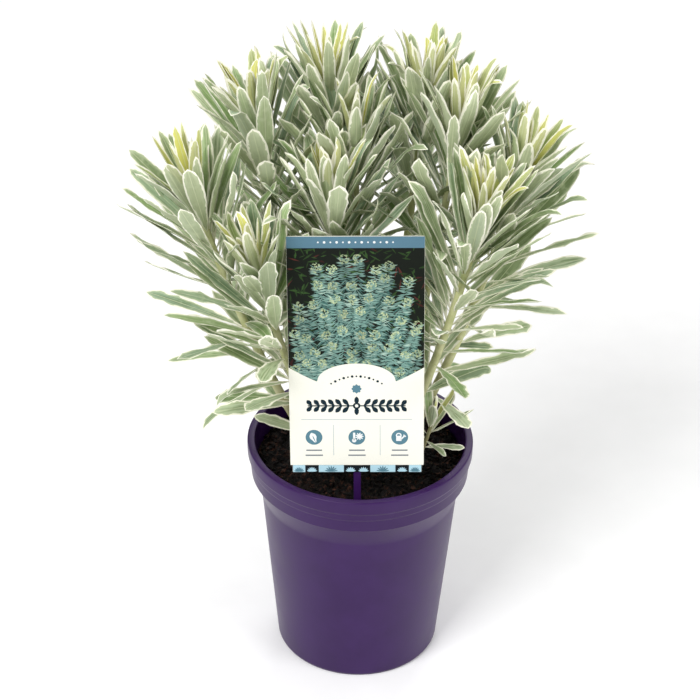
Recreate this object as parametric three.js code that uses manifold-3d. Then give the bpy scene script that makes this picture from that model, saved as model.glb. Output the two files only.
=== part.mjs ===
// Potted variegated euphorbia: a tapered nursery pot of potting mix, a clump of leafy shoots and a
// printed plant label on a stake. Millimetres, +Z up. The origin is the centre of the pot's base.
//
// A shoot is a tapering stem with leaves set on it at the golden angle. The leaves are grouped into
// tiers by age, and the leaves of a tier are one piece, because they share the sheath of green skin
// that clasps the stem below them.
import * as THREE from "three";
import { mergeVertices } from "three/addons/utils/BufferGeometryUtils.js";
import Module from "manifold-3d";

const wasm = await Module();
wasm.setup();

// ---- Driving dimensions ---------------------------------------------------------------------------
const GAP = 0.3; // clearance left between pieces that touch
const MERGE = 0.001; // vertices closer than this are one

const POT = {
  height: 150,
  rimRadius: 70,
  rimWidth: 4.8, // flat top of the rim
  rimEdge: 0.8, // easing of the rim's edges
  collarDepth: 23, // foot of the stepped collar under the lip
  shoulderDepth: 38, // foot of the shoulder, where the straight taper begins
  shoulderRadius: 61.2,
  shoulderFlare: [1.6, 6], // how far the shoulder widens, and over what height
  baseRadius: 51,
  baseEdge: 1.5,
  wall: 1.6,
  taper: 1, // draft of the ring channel's sides
  padRadius: 30, // flat pad in the middle of the base
  footRadius: 44, // inside of the foot ring
  channelHeight: 2.5, // ring channel between pad and foot, where the drain holes are
  drainHoles: 8,
  drainRadius: 4.5,
  segments: 36,
};

// The stepped collar's outline from its foot to the lip: inset from the rim's radius, and depth.
const COLLAR = [
  [3.4, 25],
  [2.8, 23],
  [1.8, 14.5],
  [1.3, 14],
  [0.9, 9],
  [0.1, 8.6],
];

const SOIL = { level: 134, bump: 1.1, waves: [7.3, 6.1], rings: 4 };

const LABEL = {
  width: 80,
  height: 154,
  corner: 1,
  thickness: 0.8,
  clearance: 23.8, // height of its lower edge above the mix
  stakeWidth: 4.4,
  stakeThickness: 1.6,
  paddleWidth: 24, // head of the stake, bonded to the back of the card
  paddleHeight: 70,
  paddleCorner: 4,
  paddleShoulder: 8, // height over which the blade widens into the paddle
  pointHeight: 8,
  buried: 30,
  position: [-1, -50], // where the stake enters the mix
  leanDegrees: 7, // top of the card away from the front of the pot
  tiltDegrees: 1.2, // top of the card towards the left
  sightDepth: 90, // reach kept clear of leaves, so that the printed face can be read
  sightDegrees: 35, // from in front and above
};

const STEM = {
  baseRadius: 3,
  tipRadius: 2,
  buried: 14,
  sheath: 0.9, // how far the skin that clasps a stem stands out from it
  collar: 0.8, // reach of a tier's skin past its first and last leaf
  sides: 6,
  steps: 8,
  elbowReach: 0.62, // the curve's middle point, as shares of the stem's reach
  elbowRise: 0.45, // and of its rise
};

const LEAF = {
  length: 68,
  width: 10,
  keel: 1.3, // depth of the midrib
  neck: 0.34, // width of its base, as a share of its full width
  widest: 0.64, // share of its length at which it is widest
  rings: [0.3, 0.68], // shares of its length at which a leaf's section is drawn
  goldenAngle: 137.508,
  crowding: 1.5, // over 1 sets the young leaves closer together than the old ones
  tries: 12, // placings tried before a crowded leaf is left out
};

// What age does to a leaf, from 0 at the growing tip to 1 at the lowest leaf.
const AGEING = {
  youngShort: 0.42, // how much shorter the youngest leaf is, and the oldest
  oldShort: 0.28,
  youngWidth: 0.6, // width of the youngest leaf as a share of a full leaf's
  fullWidthAge: 0.25,
  liftDegrees: [5, 72], // lean away from the stem of the youngest, and how much more of the oldest
  liftPower: 0.82,
  bendDegrees: 5, // bend along the leaf
};

// How far chance turns a leaf from that, in degrees, and changes its size. A new try strays further.
const CHANCE = { bearing: 7, lift: 7, bend: 14, twist: 26, size: 0.08 };
const STRAY = { bearing: 40, lift: 16, bend: 14, twist: 20, shorter: 0.25 };

// The tiers of a shoot from its growing tip down, each with its end as a share of all the leaves.
const TIERS = [
  { name: "crown_leaves", until: 0.28, color: 0xb9bf86 },
  { name: "upper_leaves", until: 0.54, color: 0x9eab86 },
  { name: "middle_leaves", until: 0.78, color: 0x8c9b7c },
  { name: "lower_leaves", until: 1, color: 0x7d8c6c },
];
const SINGLE_TIER = [{ name: "leaves", until: 1, color: 0xb9bf86 }];

// Foot and head: where a stem leaves the mix, and its growing tip, from the centre of the pot's base.
// Bare: the leafless share of the stem.
const SHOOTS = [
  { name: "shoot_1", foot: [-24, -3], head: [-98, -10, 324], leaves: 50, bare: 0.2 },
  { name: "shoot_2", foot: [-15, -8], head: [-60, -30, 284], leaves: 50, bare: 0.1 },
  { name: "shoot_3", foot: [-15, 9], head: [-64, 35, 348], leaves: 56, bare: 0.3 },
  { name: "shoot_4", foot: [-5, 16], head: [-22, 60, 357], leaves: 56, bare: 0.3 },
  { name: "shoot_5", foot: [-4, -4], head: [-20, 6, 312], leaves: 56, bare: 0.3 },
  { name: "shoot_6", foot: [3, 4], head: [-6, 33, 336], leaves: 44, bare: 0.45 },
  { name: "shoot_7", foot: [8, 16], head: [35, 60, 352], leaves: 56, bare: 0.3 },
  { name: "shoot_8", foot: [15, 7], head: [55, 28, 350], leaves: 56, bare: 0.35 },
  { name: "shoot_9", foot: [17, -6], head: [67, -22, 316], leaves: 58, bare: 0.14 },
  { name: "shoot_10", foot: [24, 3], head: [91, 10, 330], leaves: 50, bare: 0.25 },
];

// A young shoot low beside the label, half the size of the others.
const BASAL_SHOOT = {
  name: "basal_shoot",
  foot: [33, -10],
  head: [44, -13, 172],
  leaves: 12,
  bare: 0.3,
  size: 0.5,
  tiers: SINGLE_TIER,
};

const COLOURS = {
  pot: 0x4b3a5e,
  soil: 0x1c1512,
  card: 0xf7f5e6,
  stem: 0x9fa380,
};

// ---- Helpers --------------------------------------------------------------------------------------
const radians = THREE.MathUtils.degToRad;
const { clamp, lerp, smoothstep } = THREE.MathUtils;
const UP = new THREE.Vector3(0, 0, 1);

/** A repeatable number from -1 to 1 for a shoot, a leaf and a use. */
function chance(shoot, leaf, use) {
  const wave = Math.sin(shoot * 12.9898 + leaf * 78.233 + use * 37.719) * 43758.5453;
  return 2 * (wave - Math.floor(wave)) - 1;
}

/** A closed geometry as a manifold-3d solid, its vertices merged where they are closer than MERGE. */
function solidOf(geometry) {
  const bare = geometry.clone();
  bare.deleteAttribute("normal");
  bare.deleteAttribute("uv");
  const merged = mergeVertices(bare, MERGE);
  return new wasm.Manifold(
    new wasm.Mesh({
      numProp: 3,
      vertProperties: merged.attributes.position.array,
      triVerts: new Uint32Array(merged.index.array),
    }),
  );
}

/** A manifold-3d solid as a geometry. */
function geometryOf(solid) {
  const { vertProperties, triVerts } = solid.getMesh();
  const geometry = new THREE.BufferGeometry();
  geometry.setAttribute("position", new THREE.BufferAttribute(vertProperties, 3));
  geometry.setIndex(new THREE.BufferAttribute(triVerts, 1));
  geometry.computeVertexNormals();
  return geometry;
}

/** The largest body of a solid, left when its shortest edges are closed up. */
function mainBody(solid) {
  const bodies = solidOf(geometryOf(solid)).decompose();
  return bodies.reduce((a, b) => (a.volume() > b.volume() ? a : b));
}

/** A named mesh with the finish of its piece. */
function piece(name, solid, color, roughness) {
  const material = new THREE.MeshStandardMaterial({ color, roughness, metalness: 0 });
  const mesh = new THREE.Mesh(geometryOf(mainBody(solid)), material);
  mesh.name = name;
  return mesh;
}

/** A profile of [radius, height] pairs turned about the Z axis. */
function turned(profile) {
  const points = profile.map(([radius, height]) => new THREE.Vector2(radius, height));
  return new THREE.LatheGeometry(points, POT.segments).rotateX(Math.PI / 2);
}

// ---- Pot and potting mix --------------------------------------------------------------------------
const SHOULDER_HEIGHT = POT.height - POT.shoulderDepth;
const FLOOR_HEIGHT = POT.channelHeight + POT.wall;
const BORE_RADIUS = POT.rimRadius - POT.rimWidth;
const BORE_DRAFT = 0.6; // how much narrower the bore is at the foot of the collar than at the rim

/** Inner radius of the pot's tapered wall at a height above its base. */
function tapered(height) {
  const slope = (POT.shoulderRadius - POT.baseRadius) / SHOULDER_HEIGHT;
  return POT.baseRadius + slope * height - POT.wall;
}

/** The pot: flat-topped rim, stepped collar, shoulder, straight taper and a drained base. */
function potSolid() {
  const { height, rimRadius, baseRadius, channelHeight } = POT;
  const [flareOut, flareUp] = POT.shoulderFlare;
  const outside = [
    [0, 0],
    [POT.padRadius, 0],
    [POT.padRadius + POT.taper, channelHeight],
    [POT.footRadius - POT.taper, channelHeight],
    [POT.footRadius, 0],
    [baseRadius - POT.baseEdge, 0],
    [baseRadius, POT.baseEdge],
    [POT.shoulderRadius, SHOULDER_HEIGHT],
    [POT.shoulderRadius + flareOut, SHOULDER_HEIGHT + flareUp],
    ...COLLAR.map(([inset, depth]) => [rimRadius - inset, height - depth]),
    [rimRadius, height - POT.rimEdge],
    [rimRadius - POT.rimEdge, height],
  ];
  const inside = [
    [BORE_RADIUS + POT.rimEdge, height],
    [BORE_RADIUS, height - POT.rimEdge],
    [BORE_RADIUS - BORE_DRAFT, height - POT.collarDepth],
    [tapered(SHOULDER_HEIGHT), SHOULDER_HEIGHT],
    [tapered(FLOOR_HEIGHT), FLOOR_HEIGHT],
    [0, FLOOR_HEIGHT],
  ];
  let solid = solidOf(turned([...outside, ...inside]));
  const holeDistance = (POT.padRadius + POT.footRadius) / 2;
  for (let i = 0; i < POT.drainHoles; i++) {
    const angle = (i + 0.5) * ((2 * Math.PI) / POT.drainHoles);
    const hole = new THREE.CylinderGeometry(POT.drainRadius, POT.drainRadius, 3 * FLOOR_HEIGHT, 12);
    hole.rotateX(Math.PI / 2);
    hole.translate(holeDistance * Math.cos(angle), holeDistance * Math.sin(angle), 0);
    solid = solid.subtract(solidOf(hole));
  }
  return solid;
}

/** The root ball of potting mix, which fills the pot up to an uneven surface below its rim. */
function soilSolid() {
  const edge = BORE_RADIUS - BORE_DRAFT - GAP;
  const bottom = FLOOR_HEIGHT + GAP;
  const profile = [
    [0, bottom],
    [tapered(bottom) - GAP, bottom],
    [tapered(SHOULDER_HEIGHT) - GAP, SHOULDER_HEIGHT],
    [edge, POT.height - POT.collarDepth],
  ];
  for (let i = 0; i <= SOIL.rings; i++) {
    profile.push([edge * (1 - i / SOIL.rings), SOIL.level]);
  }
  const geometry = turned(profile);
  const position = geometry.attributes.position;
  const [waveX, waveY] = SOIL.waves;
  for (let i = 0; i < position.count; i++) {
    if (position.getZ(i) > SOIL.level - 0.01) {
      const wave = Math.sin(position.getX(i) / waveX + 1) * Math.cos(position.getY(i) / waveY);
      position.setZ(i, SOIL.level + SOIL.bump * wave);
    }
  }
  return solidOf(geometry);
}

/** The watering space between the mix and the rim. Only the young shoot grows into it. */
function headspaceSolid() {
  const depth = POT.height - SOIL.level;
  const space = new THREE.CylinderGeometry(BORE_RADIUS - 1, BORE_RADIUS - 1, depth, POT.segments);
  return solidOf(space.rotateX(Math.PI / 2).translate(0, 0, SOIL.level + depth / 2));
}

// ---- Plant label ----------------------------------------------------------------------------------
/** The turn and place that stand the label in the mix. */
function labelPlacement() {
  const lean = new THREE.Matrix4().makeRotationX(-radians(LABEL.leanDegrees));
  const tilt = new THREE.Matrix4().makeRotationY(-radians(LABEL.tiltDegrees));
  const [x, y] = LABEL.position;
  return new THREE.Matrix4().makeTranslation(x, y, SOIL.level).multiply(lean).multiply(tilt);
}

/** A plate of an outline in the X-Z plane. It reaches from y = front by its thickness towards +Y. */
function plate(shape, thickness, front) {
  const extruded = new THREE.ExtrudeGeometry(shape, {
    depth: thickness,
    bevelEnabled: false,
    curveSegments: 3,
  });
  return extruded.rotateX(Math.PI / 2).translate(0, front + thickness, 0);
}

/** The printed card: a flat sheet with small rounded corners, in front of its stake. */
function cardSolid() {
  const { width, height, corner, clearance } = LABEL;
  const right = width / 2;
  const top = clearance + height;
  const shape = new THREE.Shape();
  shape.moveTo(-right + corner, clearance);
  shape.lineTo(right - corner, clearance);
  shape.quadraticCurveTo(right, clearance, right, clearance + corner);
  shape.lineTo(right, top - corner);
  shape.quadraticCurveTo(right, top, right - corner, top);
  shape.lineTo(-right + corner, top);
  shape.quadraticCurveTo(-right, top, -right, top - corner);
  shape.lineTo(-right, clearance + corner);
  shape.quadraticCurveTo(-right, clearance, -right + corner, clearance);
  const card = plate(shape, LABEL.thickness, -LABEL.thickness - GAP);
  return solidOf(card.applyMatrix4(labelPlacement()));
}

/** The stake: a pointed blade with a broad head behind the card. It grows by the given amount. */
function stakeSolid(grow = 0) {
  const half = LABEL.stakeWidth / 2 + grow;
  const wide = LABEL.paddleWidth / 2 + grow;
  const cut = LABEL.paddleCorner;
  const neck = LABEL.clearance + cut;
  const shoulder = neck + LABEL.paddleShoulder;
  const top = shoulder + LABEL.paddleHeight;
  const shape = new THREE.Shape();
  shape.moveTo(0, -LABEL.buried - 2 * grow);
  shape.lineTo(half, -LABEL.buried + LABEL.pointHeight);
  shape.lineTo(half, neck);
  shape.lineTo(wide, shoulder);
  shape.lineTo(wide, top - cut);
  shape.lineTo(wide - cut, top);
  shape.lineTo(cut - wide, top);
  shape.lineTo(-wide, top - cut);
  shape.lineTo(-wide, shoulder);
  shape.lineTo(-half, neck);
  shape.lineTo(-half, -LABEL.buried + LABEL.pointHeight);
  const stake = plate(shape, LABEL.stakeThickness + 2 * grow, -grow);
  return solidOf(stake.applyMatrix4(labelPlacement()));
}

/** The space that a reader looks through at the printed face. No leaf grows into it. */
function sightSolid() {
  const half = LABEL.width / 2;
  const sight = radians(LABEL.sightDegrees - LABEL.leanDegrees);
  const forward = -LABEL.sightDepth * Math.cos(sight);
  const rise = LABEL.sightDepth * Math.sin(sight);
  const top = LABEL.clearance + LABEL.height;
  const shape = new THREE.Shape();
  shape.moveTo(0, LABEL.clearance);
  shape.lineTo(0, top);
  shape.lineTo(forward, top + rise);
  shape.lineTo(forward, LABEL.clearance + rise);
  const sides = new THREE.ExtrudeGeometry(shape, { depth: 2 * half, bevelEnabled: false });
  const swap = new THREE.Matrix4().set(0, 0, 1, -half, 1, 0, 0, 0, 0, 1, 0, 0, 0, 0, 0, 1);
  return solidOf(sides.applyMatrix4(swap).applyMatrix4(labelPlacement()));
}

// ---- Stems ----------------------------------------------------------------------------------------
/** A shoot's stem: a round tapering rod about a curve that leaves the mix and turns up to its head. */
class Stem {
  constructor(shoot) {
    const size = shoot.size ?? 1;
    this.head = new THREE.Vector3(...shoot.head);
    this.foot = new THREE.Vector3(...shoot.foot, SOIL.level);
    const reach = new THREE.Vector3().subVectors(this.head, this.foot);
    const elbow = new THREE.Vector3(
      this.foot.x + reach.x * STEM.elbowReach,
      this.foot.y + reach.y * STEM.elbowReach,
      this.foot.z + reach.z * STEM.elbowRise,
    );
    this.curve = new THREE.QuadraticBezierCurve3(this.foot, elbow, this.head);
    this.length = reach.length();
    this.side = new THREE.Vector3().crossVectors(UP, reach).normalize();
    this.baseRadius = STEM.baseRadius * size;
    this.tipRadius = STEM.tipRadius * size;
  }

  /** Radius at a share of the stem's length. */
  radiusAt(share) {
    return lerp(this.baseRadius, this.tipRadius, clamp(share, 0, 1));
  }

  /** Centre, direction along the stem, and direction across it in the plane that it leans in. */
  frameAt(share) {
    const onCurve = clamp(share, 0, 1);
    const along = this.curve.getTangent(onCurve);
    const centre = this.curve.getPoint(onCurve);
    centre.addScaledVector(along, (share - onCurve) * this.length);
    const across = new THREE.Vector3().crossVectors(along, this.side);
    return { centre, along, across };
  }

  /** A closed tube about the stem's curve between two shares, standing out from it by a thickness. */
  tube(from, to, thickness, steps = STEM.steps) {
    const tube = new THREE.CylinderGeometry(1, 1, 1, STEM.sides, steps);
    const position = tube.attributes.position;
    for (let i = 0; i < position.count; i++) {
      const share = lerp(from, to, position.getY(i) + 0.5);
      const radius = this.radiusAt(share) + thickness;
      const { centre, along, across } = this.frameAt(share);
      centre.addScaledVector(this.side, position.getX(i) * radius);
      centre.addScaledVector(across, -position.getZ(i) * radius);
      position.setXYZ(i, centre.x, centre.y, centre.z);
    }
    return solidOf(tube);
  }

  /** The stem itself, grown on all sides by the given amount. */
  solid(grow = 0) {
    return this.tube(-(STEM.buried + grow) / this.length, 1 + grow / this.length, grow);
  }
}

// ---- Leaves ---------------------------------------------------------------------------------------
/** Age of a leaf: 0 for the youngest, at the growing tip, and 1 for the lowest. */
function leafAge(shoot, index) {
  return index / (shoot.leaves - 1);
}

/** Where a leaf is set, as a share of its stem's length. */
function leafPlace(shoot, index) {
  return 1 - (1 - shoot.bare) * leafAge(shoot, index) ** LEAF.crowding;
}

/**
 * Place, posture and size of one leaf. Each draw of chance has its own number, and each new try
 * strays further from the leaf's own posture.
 */
function leafPlan(shootNumber, shoot, index, attempt) {
  const age = leafAge(shoot, index);
  const luck = (use) => chance(shootNumber, index, use);
  const stray = (use) => (attempt / LEAF.tries) * luck(use + 10 * attempt);
  const { youngShort, oldShort, youngWidth, fullWidthAge, liftDegrees } = AGEING;
  const growth = 1 - youngShort * (1 - age) ** 4 - oldShort * age ** 3;
  const ripeness = lerp(youngWidth, 1, clamp(age / fullWidthAge, 0, 1));
  const size = shoot.size ?? 1;
  const lean = liftDegrees[0] + liftDegrees[1] * age ** AGEING.liftPower;
  const bearing = index * LEAF.goldenAngle + CHANCE.bearing * luck(1) + STRAY.bearing * stray(2);
  const lift = lean + CHANCE.lift * luck(3) * (0.3 + age) + STRAY.lift * stray(4);
  const bend = AGEING.bendDegrees + CHANCE.bend * luck(5) + STRAY.bend * stray(6);
  const twist = CHANCE.twist * luck(7) + STRAY.twist * stray(8);
  const shorter = 1 - STRAY.shorter * (attempt / LEAF.tries);
  return {
    place: leafPlace(shoot, index),
    bearing: radians(bearing),
    lift: radians(lift),
    bend: radians(bend),
    twist: radians(twist),
    length: LEAF.length * size * growth * (1 + CHANCE.size * luck(9)) * shorter,
    width: LEAF.width * size * ripeness * (1 + CHANCE.size * luck(10)),
  };
}

const SECTION_RADIUS = Math.sin(Math.PI / 3); // of the spindle's two middle rings, before shaping

/** Half width of a leaf of unit width: narrow at the base, widest past the middle, round at the tip. */
function halfWidth(share) {
  const { neck, widest } = LEAF;
  if (share < widest) {
    return 0.5 * lerp(neck, 1, smoothstep(share, 0, widest));
  }
  return 0.5 * Math.sqrt(1 - ((share - widest) / (1 - widest)) ** 2);
}

/**
 * A leaf: a three-sided spindle, flat above and keeled below, bent along an arc and twisted. It
 * starts at a point inside the skin of its tier.
 */
function leafSolid(stem, plan) {
  const { centre, along, across } = stem.frameAt(plan.place);
  const outward = across.multiplyScalar(Math.cos(plan.bearing));
  outward.addScaledVector(stem.side, Math.sin(plan.bearing));
  const flank = new THREE.Vector3().crossVectors(along, outward);
  const start = centre.addScaledVector(outward, stem.radiusAt(plan.place) + (GAP + STEM.sheath) / 2);
  const curl = plan.bend / plan.length;
  const blade = new THREE.SphereGeometry(1, 3, 3);
  const position = blade.attributes.position;
  const shares = [1, ...LEAF.rings.toReversed(), 0];
  for (let i = 0; i < position.count; i++) {
    const ring = Math.round((Math.acos(clamp(position.getY(i), -1, 1)) / Math.PI) * 3);
    const share = shares[ring];
    const isPoint = ring === 0 || ring === 3;
    const angle = plan.lift + curl * share * plan.length;
    const out = (Math.cos(plan.lift) - Math.cos(angle)) / curl;
    const up = (Math.sin(angle) - Math.sin(plan.lift)) / curl;
    const above = along.clone().multiplyScalar(Math.sin(angle));
    above.addScaledVector(outward, -Math.cos(angle));
    const toKeel = isPoint ? 0 : -position.getX(i) / SECTION_RADIUS;
    const toFlank = isPoint ? 0 : position.getZ(i) / SECTION_RADIUS;
    const sideways = (toFlank / Math.sin(Math.PI / 3)) * plan.width * halfWidth(share);
    const lowered = ((toKeel + 0.5) / -1.5) * LEAF.keel * (isPoint ? 0 : 1);
    const turn = plan.twist * share;
    const point = start.clone().addScaledVector(outward, out).addScaledVector(along, up);
    point.addScaledVector(flank, sideways * Math.cos(turn) + lowered * Math.sin(turn));
    point.addScaledVector(above, lowered * Math.cos(turn) - sideways * Math.sin(turn));
    position.setXYZ(i, point.x, point.y, point.z);
  }
  return solidOf(blade);
}

/** The solids placed so far, each with its owner. A new leaf keeps clear of all but its own owners'. */
class Thicket {
  constructor() {
    this.grown = [];
  }

  add(owner, solid) {
    this.grown.push({ owner, solid, box: boxOf(solid).expandByScalar(GAP) });
  }

  isClear(solid, owners) {
    const box = boxOf(solid);
    return this.grown.every(
      (other) =>
        owners.includes(other.owner) ||
        !other.box.intersectsBox(box) ||
        other.solid.minGap(solid, GAP) >= GAP,
    );
  }
}

/** The bounding box of a manifold-3d solid. */
function boxOf(solid) {
  const { min, max } = solid.boundingBox();
  return new THREE.Box3(new THREE.Vector3(...min), new THREE.Vector3(...max));
}

/** The tiers of a shoot: first and last leaf of each, and the skin that joins the tier's leaves. */
function tiersOf(shoot, stem) {
  const collar = STEM.collar / stem.length;
  let first = 0;
  return (shoot.tiers ?? TIERS).map(({ name, until, color }) => {
    const last = Math.round(until * shoot.leaves) - 1;
    const top = first === 0 ? 1 + 3 * collar : leafPlace(shoot, first) + collar / 2;
    const bottom = leafPlace(shoot, last) - collar;
    const skin = stem.tube(bottom, top, STEM.sheath, 2);
    const hollow = stem.tube(bottom - collar, Math.min(top + collar, 1 + GAP / stem.length), GAP, 2);
    const owner = `${shoot.name}_${name}`;
    const tier = { owner, color, first, last, skin: skin.subtract(hollow) };
    first = last + 1;
    return tier;
  });
}

/** Grows one tier: each leaf takes the first posture that is clear of everything else. */
function growTier(thicket, shootNumber, shoot, stem, tier) {
  const owners = [tier.owner, `${shoot.name}_stem`];
  if (shoot === BASAL_SHOOT) {
    owners.push("headspace");
  }
  let foliage = tier.skin;
  for (let index = tier.first; index <= tier.last; index++) {
    for (let attempt = 0; attempt < LEAF.tries; attempt++) {
      const leaf = leafSolid(stem, leafPlan(shootNumber, shoot, index, attempt));
      if (thicket.isClear(leaf, owners)) {
        thicket.add(tier.owner, leaf);
        foliage = foliage.add(leaf);
        break;
      }
    }
  }
  return foliage;
}

// ---- The plant in its pot -------------------------------------------------------------------------
const group = new THREE.Group();
const thicket = new Thicket();
const pot = potSolid();
const card = cardSolid();
const stake = stakeSolid();
let soil = soilSolid().subtract(stakeSolid(GAP));

const plants = [...SHOOTS, BASAL_SHOOT].map((shoot) => {
  const stem = new Stem(shoot);
  return { shoot, stem, tiers: tiersOf(shoot, stem) };
});
for (const { stem } of plants) {
  soil = soil.subtract(stem.solid(GAP));
}

group.add(piece("pot", pot, COLOURS.pot, 0.45));
group.add(piece("potting_mix", soil, COLOURS.soil, 0.95));
group.add(piece("label_card", card, COLOURS.card, 0.35));
group.add(piece("label_stake", stake, COLOURS.pot, 0.45));

thicket.add("pot", pot);
thicket.add("potting_mix", soil);
thicket.add("label_card", card);
thicket.add("label_stake", stake);
thicket.add("sight", sightSolid());
thicket.add("headspace", headspaceSolid());
for (const { shoot, stem, tiers } of plants) {
  const name = `${shoot.name}_stem`;
  thicket.add(name, stem.solid());
  group.add(piece(name, stem.solid(), COLOURS.stem, 0.6));
  for (const tier of tiers) {
    thicket.add(tier.owner, tier.skin);
  }
}
for (const level of TIERS.keys()) {
  for (const [number, { shoot, stem, tiers }] of plants.entries()) {
    const tier = tiers[level];
    if (tier) {
      const foliage = growTier(thicket, number + 1, shoot, stem, tier);
      group.add(piece(tier.owner, foliage, tier.color, 0.6));
    }
  }
}

export default group;
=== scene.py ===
"""A potted variegated euphorbia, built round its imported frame.

A tapered nursery pot of bark mix carries a clump of leafy shoots and a printed plant label on a
stake. Lengths are in metres and +Z is up. The shoots follow the frame's own growth law, so each
modelled leaf lies where its plain solid does.
"""

import logging
import math
from dataclasses import dataclass, field
from enum import Enum
from functools import partial
from typing import Any, Callable, Iterable

import bpy
import numpy as np
from mathutils import Matrix, Vector, kdtree
from mathutils.bvhtree import BVHTree


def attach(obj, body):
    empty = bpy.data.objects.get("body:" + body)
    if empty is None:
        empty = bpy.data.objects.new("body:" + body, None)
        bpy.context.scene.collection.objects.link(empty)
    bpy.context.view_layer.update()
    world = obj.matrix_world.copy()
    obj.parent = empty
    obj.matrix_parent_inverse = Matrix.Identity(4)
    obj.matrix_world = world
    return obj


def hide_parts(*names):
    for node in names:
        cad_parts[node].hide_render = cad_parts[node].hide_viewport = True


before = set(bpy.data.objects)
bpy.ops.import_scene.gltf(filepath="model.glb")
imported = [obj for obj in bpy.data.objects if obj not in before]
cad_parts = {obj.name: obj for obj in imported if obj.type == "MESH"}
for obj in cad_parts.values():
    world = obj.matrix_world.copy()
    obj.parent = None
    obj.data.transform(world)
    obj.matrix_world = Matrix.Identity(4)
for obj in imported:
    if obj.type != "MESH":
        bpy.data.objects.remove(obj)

log = logging.getLogger("potted_euphorbia")

MM = 0.001
BODY = "root"
Point = tuple[float, float]
Inputs = dict[Any, Any]


# ---- Small tools --------------------------------------------------------------------------------
def linear(hex_colour: str) -> tuple[float, float, float, float]:
    """Turns an sRGB hex colour such as "#8E9F7C" into linear RGBA.

    Args:
        hex_colour: Six hex digits after a hash.

    Returns:
        Red, green, blue and an alpha of one, all linear.
    """
    channels = [int(hex_colour[i : i + 2], 16) / 255 for i in (1, 3, 5)]
    red, green, blue = (
        c / 12.92 if c <= 0.04045 else ((c + 0.055) / 1.055) ** 2.4 for c in channels
    )
    return red, green, blue, 1.0


def add_node(
    tree: bpy.types.NodeTree,
    kind: str,
    inputs: Inputs | None = None,
    stops: Iterable[tuple[float, str]] = (),
    **settings: Any,
) -> bpy.types.bpy_prop_collection:
    """Adds a shader node with its settings and links.

    Args:
        tree: The material's node tree.
        kind: The node's type name, less its "ShaderNode".
        inputs: A value, an sRGB hex colour or an output socket for each input, by name or number.
        stops: A colour ramp's positions and sRGB hex colours.
        settings: The node's own properties.

    Returns:
        The new node's outputs.
    """
    node = tree.nodes.new("ShaderNode" + kind)
    for name, value in settings.items():
        setattr(node, name, value)
    for number, (position, colour) in enumerate(stops):
        elements = node.color_ramp.elements
        stop = elements[number] if number < 2 else elements.new(position)
        stop.position = position
        stop.color = linear(colour)
    for key, value in (inputs or {}).items():
        if isinstance(value, bpy.types.NodeSocket):
            tree.links.new(value, node.inputs[key])
        else:
            node.inputs[key].default_value = linear(value) if isinstance(value, str) else value
    return node.outputs


def deselect_all() -> None:
    """Leaves edit mode and selects nothing."""
    if bpy.context.object and bpy.context.object.mode != "OBJECT":
        bpy.ops.object.mode_set(mode="OBJECT")
    bpy.ops.object.select_all(action="DESELECT")


def activate(*pieces: bpy.types.Object) -> None:
    """Selects only these objects and makes the first one active.

    Args:
        pieces: The objects.
    """
    deselect_all()
    for piece in pieces:
        piece.select_set(True)
    bpy.context.view_layer.objects.active = pieces[0]


def started(name: str) -> bpy.types.Object:
    """Names the primitive that was just added and puts its place into its mesh.

    Args:
        name: The name of the object and of its mesh.

    Returns:
        The primitive's object.
    """
    piece = bpy.context.active_object
    piece.name = name
    piece.data.name = name
    bpy.ops.object.transform_apply(location=True, rotation=True, scale=True)
    return piece


def edit_all(mode: str = "VERT") -> None:
    """Enters edit mode on the active object with everything selected.

    Args:
        mode: What is selected: VERT, EDGE or FACE.
    """
    bpy.ops.object.mode_set(mode="EDIT")
    bpy.ops.mesh.select_mode(type=mode)
    bpy.ops.mesh.select_all(action="SELECT")


def select_where(piece: bpy.types.Object, kind: str, test: Callable[[Any], bool]) -> None:
    """Selects the vertices, edges or faces of a piece in edit mode that pass a test.

    Args:
        piece: The object being edited.
        kind: VERT, EDGE or FACE.
        test: Called with each vertex, edge or polygon.
    """
    if piece.mode != "EDIT":
        bpy.ops.object.mode_set(mode="EDIT")
    bpy.ops.mesh.select_mode(type=kind)
    bpy.ops.mesh.select_all(action="DESELECT")
    bpy.ops.object.mode_set(mode="OBJECT")
    mesh = piece.data
    parts = {"VERT": mesh.vertices, "EDGE": mesh.edges, "FACE": mesh.polygons}[kind]
    for part in parts:
        part.select = test(part)
    bpy.ops.object.mode_set(mode="EDIT")


def extrude(move: tuple[float, float, float] = (0, 0, 0)) -> None:
    """Extrudes the selection by a move."""
    bpy.ops.mesh.extrude_region_move(TRANSFORM_OT_translate={"value": move})


def apply_modifier(piece: bpy.types.Object, kind: str, **settings: Any) -> None:
    """Adds a modifier with its settings and applies it.

    Args:
        piece: The object that it changes.
        kind: The modifier's type.
        settings: The modifier's own properties.
    """
    activate(piece)
    modifier = piece.modifiers.new(kind.lower(), kind)
    for name, value in settings.items():
        setattr(modifier, name, value)
    bpy.ops.object.modifier_apply(modifier=modifier.name)


def settle(
    piece: bpy.types.Object, smooth_degrees: float | None, turn_out: bool = True
) -> bpy.types.Object:
    """Finishes a piece: its place goes into its mesh, its faces point out and its shading is set.

    Args:
        piece: The object to finish.
        smooth_degrees: Edges sharper than this stay sharp, or None for a faceted piece.
        turn_out: Whether its faces still have to be turned outwards.

    Returns:
        The same object.
    """
    activate(piece)
    bpy.ops.object.transform_apply(location=True, rotation=True, scale=True)
    if turn_out:
        edit_all("FACE")
        bpy.ops.mesh.normals_make_consistent(inside=False)
        activate(piece)
    if smooth_degrees is None:
        bpy.ops.object.shade_flat()
    else:
        bpy.ops.object.shade_smooth_by_angle(angle=math.radians(smooth_degrees))
    return piece


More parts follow.
